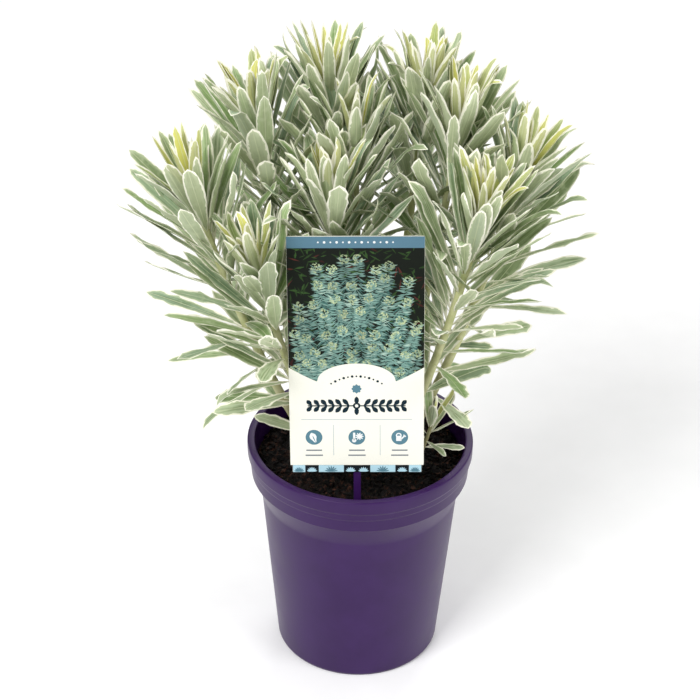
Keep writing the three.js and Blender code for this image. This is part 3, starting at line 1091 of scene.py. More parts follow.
@dataclass
class PlantLabel:
    """A printed card on a moulded stake. Its print is a generic shrub and three care signs.

    Sizes are in millimetres. The label is drawn flat, with its face up and its foot at zero.
    """

    plastic: MouldedPolypropylene
    printed: PrintedCard
    level: float = 134 * MM
    width: float = 80
    height: float = 154
    thickness: float = 0.8
    gap: float = 0.3
    clearance: float = 23.8
    foot_height: float = 4.9  # the narrower tiled strip along the card's lower edge
    foot_inset: float = 1.2
    stake_width: float = 4.4
    stake_thickness: float = 1.6
    paddle_width: float = 24
    paddle_height: float = 70
    paddle_corner: float = 4
    paddle_shoulder: float = 8
    buried: float = 30
    point_height: float = 8
    foot: tuple[float, float] = (-1 * MM, -50 * MM)
    lean_degrees: float = 7
    tilt_degrees: float = 1.2
    margin: float = 0.12  # the print stops this far from the card's edges
    layers: Layers = field(default_factory=Layers)
    rows: Rows = field(default_factory=Rows)
    backdrop_leaves: int = 420
    backdrop_length: Point = (3, 8)  # least and most, as for the lengths and widths below
    backdrop_width: Point = (0.7, 1.6)
    berry_share: float = 0.22  # of the backdrop's leaves
    spike_rows: int = 7
    spike_drop: float = 10.8  # from one row of spikes to the next
    spike_height: float = 23
    spike_leaves: int = 60
    leaf_length: Point = (5, 7.6)
    leaf_width: Point = (0.6, 1.1)
    florets: int = 26  # on each spike
    floret_length: Point = (1.0, 1.7)
    floret_width: Point = (0.7, 1.1)
    pale_share: float = 0.4  # of the florets
    head_radius: float = 2.9
    panel_columns: int = 96
    notch_place: float = 0.29  # share of the card's width from its middle to a notch
    dots: int = 6  # on each side of the middle, in the header and in the arc
    sprig_leaves: int = 6
    sprig_reach: float = 29
    rule_reach: float = 33
    divider_place: float = 13.9
    sign_place: float = 25.6
    sign_size: float = 0.063  # share of the card's width
    caption_reach: tuple[float, float] = (4.7, 5.2)

    def placement(self) -> Matrix:
        """Stands a label that was drawn flat, face up and in place, in the mix.

        Returns:
            The matrix that does it.
        """
        place = Matrix.Translation((*self.foot, self.level))
        lean = Matrix.Rotation(-math.radians(self.lean_degrees), 4, "X")
        tilt = Matrix.Rotation(-math.radians(self.tilt_degrees), 4, "Y")
        upright = Matrix.Rotation(math.radians(90), 4, "X")
        return place @ lean @ tilt @ upright

    def stand(self, piece: bpy.types.Object, smooth_degrees: float) -> bpy.types.Object:
        """Stands a finished flat piece in the mix.

        Args:
            piece: The piece.
            smooth_degrees: Edges sharper than this stay sharp.

        Returns:
            The same piece.
        """
        deselect_all()
        piece.matrix_world = self.placement()
        return settle(piece, smooth_degrees)

    def build(self) -> None:
        """Makes the card, its print and its stake."""
        paper = self.printed.material()
        dress(self.card(), paper, "label_print", "label_card")
        dress(self.stand(self.artwork().piece("label_artwork"), 20), paper, "label_print")
        dress(self.stake(), self.plastic.material(), "pot_plastic", "label_stake")

    def slab(
        self, name: str, width: float, low: float, high: float, bottom: float, thickness: float
    ) -> bpy.types.Object:
        """A flat block on the label's centre line, left in edit mode.

        Args:
            name: Name of the new object.
            width: Its width.
            low: Its lower edge.
            high: Its upper edge.
            bottom: Height of its back.
            thickness: Its thickness.

        Returns:
            The new object.
        """
        deselect_all()
        middle = Vector((0, (low + high) / 2, bottom + thickness / 2)) * MM
        size = Vector((width, high - low, thickness)) * MM
        bpy.ops.mesh.primitive_cube_add(size=1, location=middle, scale=size)
        slab = started(name)
        bpy.ops.object.mode_set(mode="EDIT")
        return slab

    def grow_edge(self, slab: bpy.types.Object, up: bool, moves: list[Point]) -> None:
        """Extrudes a slab's upper or lower edge face.

        Args:
            slab: The slab.
            up: Whether it grows upwards.
            moves: How far each extrusion reaches, and its width as a share of the last one's.
        """
        sign = 1 if up else -1
        select_where(slab, "FACE", lambda p: p.normal.y * sign > 0.9)
        for reach, share in moves:
            extrude((0, sign * reach * MM, 0))
            bpy.ops.transform.resize(value=(share, 1, 1), center_override=(0, 0, 0))
        bpy.ops.mesh.select_all(action="SELECT")
        bpy.ops.mesh.remove_doubles(threshold=0.001 * MM)
        bpy.ops.mesh.dissolve_degenerate(threshold=0.001 * MM)

    def card(self) -> bpy.types.Object:
        """The plain card, with small rounded upper corners, eased edges and a narrower foot.

        Returns:
            The card's object.
        """
        low = self.clearance + self.foot_height
        high = self.clearance + self.height
        card = self.slab("label_card_sheet", self.width, low, high, self.gap, self.thickness)
        narrow = 1 - 2 * self.foot_inset / self.width
        self.grow_edge(card, False, [(0, narrow), (self.foot_height, 1)])
        mesh = card.data

        def is_corner(edge: bpy.types.MeshEdge) -> bool:
            """Whether an edge runs through the card's thickness at one of its outer corners."""
            a, b = (mesh.vertices[i].co for i in edge.vertices)
            return abs(a.z - b.z) > 0.1 * MM and abs(a.x) > (self.width / 2 - 0.1) * MM

        select_where(card, "EDGE", is_corner)
        bpy.ops.mesh.bevel(offset=1.0 * MM, segments=6, affect="EDGES")
        apply_modifier(card, "BEVEL", width=0.1 * MM, segments=2, limit_method="ANGLE")
        count = len(card.data.vertices)
        paint(card, "ink", np.tile(linear(Ink.CARD.value)[:3], (count, 1)))
        return self.stand(card, 30)

    def stake(self) -> bpy.types.Object:
        """The stake: a pointed blade that widens into a paddle behind the card.

        Returns:
            The stake's object.
        """
        neck = self.clearance + self.paddle_corner
        low = self.point_height - self.buried
        bottom = -self.stake_thickness
        stake = self.slab(
            "label_stake_blade", self.stake_width, low, neck, bottom, self.stake_thickness
        )
        cut = self.paddle_corner
        self.grow_edge(
            stake,
            True,
            [
                (self.paddle_shoulder, self.paddle_width / self.stake_width),
                (self.paddle_height - cut, 1),
                (cut, 1 - 2 * cut / self.paddle_width),
            ],
        )
        self.grow_edge(stake, False, [(self.point_height, 0.12)])
        apply_modifier(stake, "BEVEL", width=0.3 * MM, segments=2, limit_method="ANGLE")
        return self.stand(stake, 30)

    def at(self, share: float) -> float:
        """Height on the card at a share of its height from the top."""
        return self.clearance + self.height * (1 - share)

    def artwork(self) -> Batch:
        """Everything printed on the face, from the header band to the tiled foot.

        Returns:
            The print, as one batch.
        """
        half = self.width / 2 - self.margin
        low = self.clearance + self.margin
        high = self.clearance + self.height - self.margin
        print_ = Print(self.gap + self.thickness, (-half, low, half, high))
        foot, header = self.at(self.rows.picture_foot), self.at(self.rows.header_foot)
        print_.box(-half, foot, half, header, self.layers.ground, Ink.NIGHT)
        self.shrub(print_)
        self.panel(print_, half)
        print_.box(-half, header, half, high, self.layers.panel, Ink.HEADER)
        for i in range(-self.dots, self.dots + 1):
            size = 0.75 if i % 2 else 0.5
            place = (i * 3.6, self.at(self.rows.header))
            print_.disc(place, size, self.layers.detail, Ink.WHITE)
        self.ornament(print_)
        self.signs(print_)
        self.tiles(print_)
        return print_.batch

    def shrub(self, print_: Print) -> None:
        """A clump of silvery spikes on dark ground, drawn from the back to the front.

        Args:
            print_: The print to add to.
        """
        chance = np.random.default_rng(5)
        high, low = (self.at(row) for row in self.rows.picture)
        half = self.width / 2
        for _ in range(self.backdrop_leaves):
            place = (chance.uniform(-half, half), chance.uniform(low, high))
            ink = Ink.BERRY if chance.random() < self.berry_share else Ink.MOSS
            size = (chance.uniform(*self.backdrop_length), chance.uniform(*self.backdrop_width))
            turn = chance.uniform(0, math.tau)
            height = self.layers.ground + chance.uniform(0.001, 0.009)
            print_.stamp(print_.small_die, place, size, height, ink, turn, chance.uniform(0.3, 1))
        for row in range(self.spike_rows):
            y = self.at(self.rows.first_spike) - row * self.spike_drop
            # The clump widens over its upper rows, and its top is rounded.
            spread = half * (0.62 + 0.42 * min(1, row / 2.5))
            count = 6 + row // 2
            for i in range(count):
                x = spread * (2 * (i + 0.5 * (row % 2) + 0.25) / count - 1) + chance.uniform(-2, 2)
                top = y + chance.uniform(-3.5, 3.5) - 4 * (x / half) ** 2
                floor = self.layers.shrub + 0.032 * row
                self.spike(print_, (min(max(x, 4 - half), half - 4), top), floor, chance)

    def spike(self, print_: Print, top: Point, floor: float, chance: np.random.Generator) -> None:
        """One spike of the shrub: leaves that droop round a stem, under a head of small flowers.

        Args:
            print_: The print to add to.
            top: Centre of its flower head.
            floor: Its least height over the face.
            chance: The print's random numbers.
        """
        x, y = top
        light = chance.uniform(0.75, 1.2)
        inks = (Ink.LEAF_SHADE, Ink.LEAF_DEEP, Ink.LEAF_TEAL, Ink.LEAF_TEAL, Ink.LEAF_PALE)
        for i in range(self.spike_leaves):
            share = i / (self.spike_leaves - 1)
            side = 1 if i % 2 else -1
            turn = math.radians(90 - side * (150 - 85 * share + chance.uniform(-22, 22)))
            across = x * (0.8 + 0.2 * share) + chance.uniform(-1, 1)
            place = (across, y - self.spike_height * (1 - share))
            length = chance.uniform(*self.leaf_length) * (1 - 0.35 * share)
            size = (length, chance.uniform(*self.leaf_width))
            tone = 0.62 * share + 0.42 * chance.random()
            ink = inks[min(len(inks) - 1, int(len(inks) * tone))]
            height = floor + 0.022 * share + chance.uniform(0, 0.004)
            print_.stamp(print_.small_die, place, size, height, ink, turn, light)
        for _ in range(self.florets):
            turn = chance.uniform(0, math.tau)
            radius = self.head_radius * math.sqrt(chance.random())
            place = (x + radius * math.cos(turn), y + radius * math.sin(turn))
            ink = Ink.FLOWER_PALE if chance.random() < self.pale_share else Ink.FLOWER
            height = floor + 0.028 + chance.uniform(0, 0.005)
            size = (chance.uniform(*self.floret_length), chance.uniform(*self.floret_width))
            print_.stamp(print_.small_die, place, size, height, ink, turn + 1.5, light)

    def panel(self, print_: Print, half: float) -> None:
        """The cream panel: its upper edge falls to a notch each side of a low arch.

        Args:
            print_: The print to add to.
            half: Half the printed width.
        """
        deselect_all()
        bpy.ops.mesh.primitive_grid_add(
            x_subdivisions=self.panel_columns, y_subdivisions=1, size=2
        )
        panel = started("panel_die")
        notch = self.notch_place * self.width
        rows = self.rows
        side, dip, arch = self.at(rows.side), self.at(rows.notch), self.at(rows.arch)
        low = self.clearance + self.foot_height
        for vertex in panel.data.vertices:
            x = vertex.co.x * half
            if abs(x) < notch:
                edge = dip + (arch - dip) * math.sqrt(1 - (x / notch) ** 2)
            else:
                edge = dip + (side - dip) * ((abs(x) - notch) / (half - notch)) ** 1.15
            vertex.co = (x, edge if vertex.co.y > 0 else low, 0)
        activate(panel)
        edit_all("FACE")
        extrude((0, 0, 1))
        die = Shape.taken(panel)
        print_.stamp(die, (0, 0), (1, 1), self.layers.panel, Ink.CARD)

    def ornament(self, print_: Print) -> None:
        """An arc of dots, a star and a bold laurel, where a name would be.

        Args:
            print_: The print to add to.
        """
        detail, apart = self.layers.detail, self.layers.apart
        for i in range(-self.dots, self.dots + 1):
            place = (i * 2.5, self.at(self.rows.arc) - 4.8 * (i / self.dots) ** 2)
            print_.disc(place, 0.8 if i % 2 else 0.55, detail, Ink.NAVY)
        star = (0, self.at(self.rows.star))
        rays = 8
        for i in range(rays):
            print_.leaf(star, i * math.tau / rays, 3.1, 1.9, detail + apart * i, Ink.BLUE)
        middle = self.at(self.rows.laurel)
        reach = self.sprig_reach
        print_.box(-reach, middle - 0.4, reach, middle + 0.4, detail, Ink.NAVY)
        for i in range(-self.sprig_leaves, self.sprig_leaves + 1):
            tilt = 50 if i > 0 else 130
            place = (i * 4.4, middle)
            for side in (-1, 1):
                turn = side * math.radians(tilt if i else 90)
                height = detail + apart * (i + self.sprig_leaves + 2)
                print_.leaf(place, turn, 6.2 - 0.22 * abs(i), 2.9, height, Ink.NAVY)
        print_.disc((0, middle), 2.2, self.layers.fine, Ink.NAVY)
        print_.disc((0, middle), 1.0, self.layers.fine + 0.02, Ink.CARD)

    def signs(self, print_: Print) -> None:
        """The rules and the three round signs, over plain bars in place of captions.

        Args:
            print_: The print to add to.
        """
        detail = self.layers.detail
        high, low = (self.at(row) for row in self.rows.rule)
        print_.box(-self.rule_reach, low, self.rule_reach, high, detail, Ink.RULE)
        high, low = (self.at(row) for row in self.rows.dividers)
        for x in (-self.divider_place, self.divider_place):
            print_.box(x - 0.14, low, x + 0.14, high, detail, Ink.RULE)
        radius = self.sign_size * self.width
        aside = self.sign_place
        for x, sign in ((-aside, self.leaf_sign), (0, self.warmth_sign), (aside, self.can_sign)):
            place = (x, self.at(self.rows.signs))
            print_.disc(place, radius, detail, Ink.BLUE)
            sign(print_, place, radius)
            for row, reach in zip(self.rows.captions, self.caption_reach):
                y = self.at(row)
                print_.box(x - reach, y - 0.45, x + reach, y + 0.45, detail, Ink.GREY)

    def leaf_sign(self, print_: Print, place: Point, radius: float) -> None:
        """A leaf with a midrib.

        Args:
            print_: The print to add to.
            place: Centre of the sign.
            radius: Radius of the sign.
        """
        x, y = place
        turn = math.radians(112)
        foot = (x + 0.2 * radius, y - 0.7 * radius)
        print_.leaf(foot, turn, radius * 1.4, radius * 0.85, self.layers.fine, Ink.WHITE)
        print_.leaf(foot, turn, radius * 1.0, radius * 0.12, self.layers.fine + 0.02, Ink.BLUE)

    def warmth_sign(self, print_: Print, place: Point, radius: float) -> None:
        """A thermometer beside a sun.

        Args:
            print_: The print to add to.
            place: Centre of the sign.
            radius: Radius of the sign.
        """
        x, y = place
        bulb = x - 0.32 * radius
        print_.disc((bulb, y - 0.42 * radius), radius * 0.26, self.layers.fine, Ink.WHITE)
        slim = 0.13 * radius
        top = y + 0.62 * radius
        print_.box(bulb - slim, y - 0.4 * radius, bulb + slim, top, self.layers.fine, Ink.WHITE)
        sun = (x + 0.3 * radius, y + 0.12 * radius)
        print_.disc(sun, radius * 0.27, self.layers.fine + 0.005, Ink.WHITE)
        rays = 9
        for i in range(rays):
            turn = i * math.tau / rays
            height = self.layers.fine - self.layers.apart * i
            print_.leaf(sun, turn, radius * 0.52, radius * 0.17, height, Ink.WHITE)

    def can_sign(self, print_: Print, place: Point, radius: float) -> None:
        """A watering can.

        Args:
            print_: The print to add to.
            place: Centre of the sign.
            radius: Radius of the sign.
        """
        x, y = place
        body = (x - 0.42 * radius, y - 0.5 * radius, x + 0.2 * radius, y + 0.2 * radius)
        print_.box(*body, self.layers.fine, Ink.WHITE)
        handle = (x - 0.12 * radius, y + 0.24 * radius)
        print_.disc(handle, radius * 0.34, self.layers.fine - 0.01, Ink.WHITE)
        print_.disc(handle, radius * 0.2, self.layers.fine - 0.005, Ink.BLUE)
        spout = (x + 0.08 * radius, y - 0.38 * radius)
        size = (0.36 * radius, 0.09 * radius)
        middle = (spout[0] + 0.25 * radius, spout[1] + 0.3 * radius)
        print_.stamp(print_.box_die, middle, size, self.layers.fine, Ink.WHITE, math.radians(48))
        rose = (spout[0] + 0.5 * radius, spout[1] + 0.58 * radius)
        size = (0.19 * radius, 0.07 * radius)
        print_.stamp(print_.box_die, rose, size, self.layers.fine, Ink.WHITE, math.radians(-42))

    def tiles(self, print_: Print) -> None:
        """The foot: a row of plain tiles, each with a small fan of petals.

        Args:
            print_: The print to add to.
        """
        low = self.clearance + self.margin
        high = self.clearance + self.foot_height - 0.1
        half = self.width / 2 - self.foot_inset - self.margin
        print_.box(-half, low, half, high, self.layers.panel, Ink.TILE_DARK)
        edges = (-1, -0.8, -0.6, -0.2, 0, 0.2, 0.6, 0.8, 1)
        for number, (a, b) in enumerate(zip(edges, edges[1:])):
            left, right = a * half + 0.2, b * half - 0.2
            dark = number in (1, 3, 4, 6)
            if not dark:
                print_.box(left, low, right, high, self.layers.detail, Ink.TILE)
            spread = min(right - left, 2 * (high - low)) / 2
            petals = 7
            for i in range(petals):
                turn = math.pi * (i + 0.5) / petals
                foot = ((left + right) / 2, low + 0.3)
                ink = Ink.TILE if dark else Ink.BLUE
                height = self.layers.fine + self.layers.apart * i
                print_.leaf(foot, turn, spread * 0.85, 0.9, height, ink)


# ---- Shoots -------------------------------------------------------------------------------------
def chance_of(shoot: int, leaf: float, use: int) -> float:
    """A repeatable number from -1 to 1 for a shoot, a leaf and a use."""
    wave = math.sin(shoot * 12.9898 + leaf * 78.233 + use * 37.719) * 43758.5453
    return 2 * (wave - math.floor(wave)) - 1


def clamp(value: float) -> float:
    """Keeps a number between zero and one."""
    return min(max(value, 0.0), 1.0)


def smooth_step(value: Any, low: float, high: float) -> Any:
    """A soft rise from zero at low to one at high, for a number or an array."""
    t = np.clip((value - low) / (high - low), 0, 1)
    return t * t * (3 - 2 * t)


@dataclass(frozen=True)
class Habit:
    """One shoot: where its stem stands and heads, its leaves, its leafless share and its size.

    Its breadth is the factor on its leaves' width.
    """

    name: str
    foot: tuple[float, float]
    head: tuple[float, float, float]
    leaves: int
    bare: float
    size: float = 1.0
    breadth: float = 0.98


class Tier(Enum):
    """The tiers of a shoot's leaves and the share of the leaves at which each ends."""

    CROWN = ("crown_leaves", 0.28)
    UPPER = ("upper_leaves", 0.54)
    MIDDLE = ("middle_leaves", 0.78)
    LOWER = ("lower_leaves", 1.0)
    SINGLE = ("leaves", 1.0)


HABITS = (
    Habit("shoot_1", (-24, -3), (-98, -10, 324), 50, 0.2),
    Habit("shoot_2", (-15, -8), (-60, -30, 284), 50, 0.1),
    Habit("shoot_3", (-15, 9), (-64, 35, 348), 56, 0.3),
    Habit("shoot_4", (-5, 16), (-22, 60, 357), 56, 0.3),
    Habit("shoot_5", (-4, -4), (-20, 6, 312), 56, 0.3),
    Habit("shoot_6", (3, 4), (-6, 33, 336), 44, 0.45),
    Habit("shoot_7", (8, 16), (35, 60, 352), 56, 0.3),
    Habit("shoot_8", (15, 7), (55, 28, 350), 56, 0.35),
    Habit("shoot_9", (17, -6), (67, -22, 316), 58, 0.14),
    Habit("shoot_10", (24, 3), (91, 10, 330), 50, 0.25),
    Habit("basal_shoot", (33, -10), (44, -13, 172), 12, 0.3, 0.5, 1.4),
)


@dataclass
class Stem:
    """A shoot's stem, as a curve in millimetres that leaves the mix and turns up to its head."""

    habit: Habit
    level: float = 134
    base_radius: float = 3
    tip_radius: float = 2
    buried: float = 14
    elbow_reach: float = 0.62
    elbow_rise: float = 0.45
    scar_spacing: float = 5
    scar_swell: float = 0.55
    scar_height: float = 1.6
    scar_breadth: float = 0.7  # radians round the stem
    seam: float = 0.02  # points nearer than this are joined

    def __post_init__(self) -> None:
        """Works out the curve's three points and its side direction."""
        self.foot = Vector((*self.habit.foot, self.level))
        self.head = Vector(self.habit.head)
        reach = self.head - self.foot
        self.elbow = self.foot + Vector(
            (reach.x * self.elbow_reach, reach.y * self.elbow_reach, reach.z * self.elbow_rise)
        )
        self.length = reach.length
        self.side = Vector((0, 0, 1)).cross(reach).normalized()

    def radius(self, share: float) -> float:
        """Radius at a share of the length."""
        t = clamp(share)
        return self.habit.size * (self.base_radius * (1 - t) + self.tip_radius * t)

    def frame(self, share: float) -> tuple[Vector, Vector, Vector]:
        """The stem's frame at a share of its length.

        Args:
            share: The share, which is below zero in the mix.

        Returns:
            The centre, the direction along and the direction across.
        """
        t = clamp(share)
        centre = self.foot * (1 - t) ** 2 + self.elbow * (2 * t * (1 - t)) + self.head * t**2
        along = (self.elbow - self.foot) * (2 * (1 - t)) + (self.head - self.elbow) * (2 * t)
        along.normalize()
        centre = centre + along * ((share - t) * self.length)
        return centre, along, along.cross(self.side)

    def mesh(self, name: str, sides: int = 18, rings: int = 64) -> bpy.types.Object:
        """The stem as a rolled sheet, with a swelling where each lost leaf was.

        Args:
            name: Name of the new object.
            sides: Sides round the stem.
            rings: Rings along it.

        Returns:
            A closed tube.
        """
        deselect_all()
        bpy.ops.mesh.primitive_grid_add(x_subdivisions=sides, y_subdivisions=rings, size=2)
        stem = started(name)
        start = -self.buried / self.length
        scars = self.scars()
        for vertex in stem.data.vertices:
            angle = (vertex.co.x + 1) * math.pi
            share = start + (1 - start) * (vertex.co.y + 1) / 2
            centre, _, across = self.frame(share)
            radius = self.radius(share)
            for place, bearing in scars:
                rise = (share - place) * self.length
                turn = math.remainder(angle - bearing, math.tau)
                tall, broad = rise / self.scar_height, turn / self.scar_breadth
                swell = math.exp(-(tall**2) - broad**2)
                radius += self.scar_swell * self.habit.size * swell
            outward = across * math.cos(angle) + self.side * math.sin(angle)
            vertex.co = (centre + outward * radius) * MM
        activate(stem)
        edit_all()
        bpy.ops.mesh.remove_doubles(threshold=self.seam * MM)
        bpy.ops.mesh.select_all(action="DESELECT")
        bpy.ops.mesh.select_non_manifold()
        bpy.ops.mesh.fill_holes(sides=0)
        return settle(stem, 60)

    def scars(self) -> list[Point]:
        """Finds the scars on the leafless stretch.

        Returns:
            Each scar's place, as a share of the length, and its bearing in radians.
        """
        count = int(self.habit.bare * self.length / self.scar_spacing)
        golden = math.radians(Leafing.golden_angle)
        return [
            (self.habit.bare * (1 - (i + 0.7) / (count + 1)), (self.habit.leaves + i) * golden)
            for i in range(count)
        ]


@dataclass(frozen=True)
class Posture:
    """How one leaf grows: its place on the stem, its directions in radians and its size."""

    index: float
    age: float
    place: float
    bearing: float
    lift: float
    bend: float
    twist: float
    length: float
    width: float


@dataclass(frozen=True)
class Leafing:
    """The law that sets leaves on a shoot. It is the frame's own, in millimetres and degrees."""

    length: float = 68
    width: float = 10
    golden_angle: float = 137.508
    crowding: float = 1.5
    tries: int = 12
    sheath: float = 0.9
    gap: float = 0.3
    young_loss: float = 0.42  # share of its length that the youngest leaf lacks
    old_loss: float = 0.28  # share of its length that the oldest leaf lacks
    try_loss: float = 0.25  # share of its length that a leaf lacks at its last try
    slenderness: float = 0.6  # share of its width that the youngest leaf has
    ripe_age: float = 0.25  # the age at which a leaf has its whole width
    lift: float = 5  # of the youngest leaf off the stem
    droop: float = 72  # how much more an old leaf stands off
    lean: float = 7  # spread of the leaves' bearing and lift
    twist: float = 26
    spread: float = 0.08  # of the leaves' length and width

    def posture(self, number: int, habit: Habit, index: float, attempt: int) -> Posture:
        """Place, posture and size of one leaf at one try.

        Args:
            number: The shoot's number, from one.
            habit: The shoot.
            index: The leaf, from the youngest.
            attempt: The try. Each strays further from the leaf's own posture.

        Returns:
            The leaf's posture.
        """
        age = index / (habit.leaves - 1)

        def luck(use: int) -> float:
            """The leaf's chance for a use."""
            return chance_of(number, index, use)

        def stray(use: int) -> float:
            """How far this try strays for a use."""
            return (attempt / self.tries) * luck(use + 10 * attempt)

        growth = 1 - self.young_loss * (1 - age) ** 4 - self.old_loss * age**3
        shorter = 1 - self.try_loss * (attempt / self.tries)
        ripeness = self.slenderness + (1 - self.slenderness) * clamp(age / self.ripe_age)
        lift = self.lift + self.droop * age**0.82
        lift = lift + self.lean * luck(3) * (0.3 + age) + 16 * stray(4)
        return Posture(
            index=index,
            age=age,
            place=1 - (1 - habit.bare) * age**self.crowding,
            bearing=math.radians(index * self.golden_angle + self.lean * luck(1) + 40 * stray(2)),
            lift=math.radians(lift),
            bend=math.radians(5 + 14 * luck(5) + 14 * stray(6)),
            twist=math.radians(self.twist * luck(7) + 20 * stray(8)),
            length=self.length * habit.size * growth * (1 + self.spread * luck(9)) * shorter,
            width=self.width * habit.size * ripeness * (1 + self.spread * luck(10)),
        )

    def axes(self, stem: Stem, posture: Posture) -> tuple[Vector, Vector, Vector, Vector]:
        """Where a leaf starts, and its own directions.

        Args:
            stem: The stem that the leaf is on.
            posture: The leaf's posture.

        Returns:
            The start, and the directions outward, along the stem and to the flank.
        """
        centre, along, across = stem.frame(posture.place)
        outward = across * math.cos(posture.bearing) + stem.side * math.sin(posture.bearing)
        start = centre + outward * (stem.radius(posture.place) + (self.gap + self.sheath) / 2)
        return start, outward, along, along.cross(outward)

    def tip(self, stem: Stem, posture: Posture) -> Vector:
        """Where the tip of a leaf's plain solid lies.

        Args:
            stem: The stem that the leaf is on.
            posture: The leaf's posture.

        Returns:
            The tip, in millimetres.
        """
        start, outward, along, _ = self.axes(stem, posture)
        end = posture.lift + posture.bend
        curl = posture.bend / posture.length
        out = (math.cos(posture.lift) - math.cos(end)) / curl
        up = (math.sin(end) - math.sin(posture.lift)) / curl
        return start + outward * out + along * up


class LeafForm(Enum):
    """The leaf shapes on the plant: the place of the broadest part and the depth of the teeth."""

    LANCE = (0.52, 0.0)
    SPATULATE = (0.66, 0.0)
    TOOTHED = (0.72, 0.08)


@dataclass
class Blade:
    """A leaf blade modelled once, flat and one unit long and wide, then posed for each leaf."""

    form: LeafForm
    columns: int = 4
    rows: tuple[float, ...] = (0.0, 0.16, 0.33, 0.48, 0.6, 0.7, 0.79, 0.87, 0.94, 1.0)
    petiole: float = 0.32
    bluntness: float = 2.3  # of the end
    teeth_from: float = 0.5  # share of the length that has no teeth
    lens: float = 0.01  # how far the underside is first set off, to tell it from the upper side

    def width(self, row: int, share: float) -> float:
        """Width of the blade at one of its rows.

        Args:
            row: Number of the row. Teeth stand on odd rows.
            share: Its share of the length.

        Returns:
            The width, which is one at the broadest part but for the teeth.
        """
        widest, teeth = self.form.value
        if share < widest:
            rise = float(smooth_step(share, 0.0, widest))
            width = self.petiole + (1 - self.petiole) * rise
        else:
            fall = (share - widest) / (1 - widest)
            width = math.sqrt(max(0.0, 1 - fall**self.bluntness))
        return width + (teeth if row % 2 else -teeth) * (self.teeth_from < share < 1)

    def shape(self) -> Shape:
        """Models the blade: a grid and its turned copy joined at the margin, shaped row by row.

        Returns:
            The blade, with height 0 for its upper side and margin and 1 for its underside.
        """
        deselect_all()
        count = len(self.rows) - 1
        bpy.ops.mesh.primitive_grid_add(x_subdivisions=self.columns, y_subdivisions=count, size=1)
        blade = started("leaf_blade")
        upper = len(blade.data.vertices)
        edit_all()
        bpy.ops.mesh.duplicate()
        bpy.ops.mesh.flip_normals()

        def inside(v: bpy.types.MeshVertex) -> bool:
            """Whether a vertex is the copy's and lies off the margin."""
            return v.index >= upper and max(abs(v.co.x), abs(v.co.y)) < 0.49

        select_where(blade, "VERT", inside)
        bpy.ops.transform.translate(value=(0, 0, -self.lens))
        bpy.ops.mesh.select_all(action="SELECT")
        bpy.ops.mesh.remove_doubles(threshold=self.lens / 10)
        for end in (-0.5, 0.5):
            select_where(blade, "VERT", lambda v: abs(v.co.y - end) < 0.01)
            bpy.ops.mesh.merge(type="CENTER")
        aside = 10  # shaped rows wait there, so that a later row doesn't pick them up
        for row, share in enumerate(self.rows):
            height = row / count - 0.5
            select_where(blade, "VERT", lambda v: abs(v.co.y - height) < 0.01)
            bpy.ops.transform.resize(
                value=(self.width(row, share), 1, 1), center_override=(0, 0, 0)
            )
            bpy.ops.transform.translate(value=(0, share + aside - height, 0))
        bpy.ops.mesh.select_all(action="SELECT")
        bpy.ops.transform.translate(value=(0, -aside, 0))
        shape = Shape.taken(blade)
        shape.points[:, 2] = shape.points[:, 2] < -self.lens / 2
        return shape


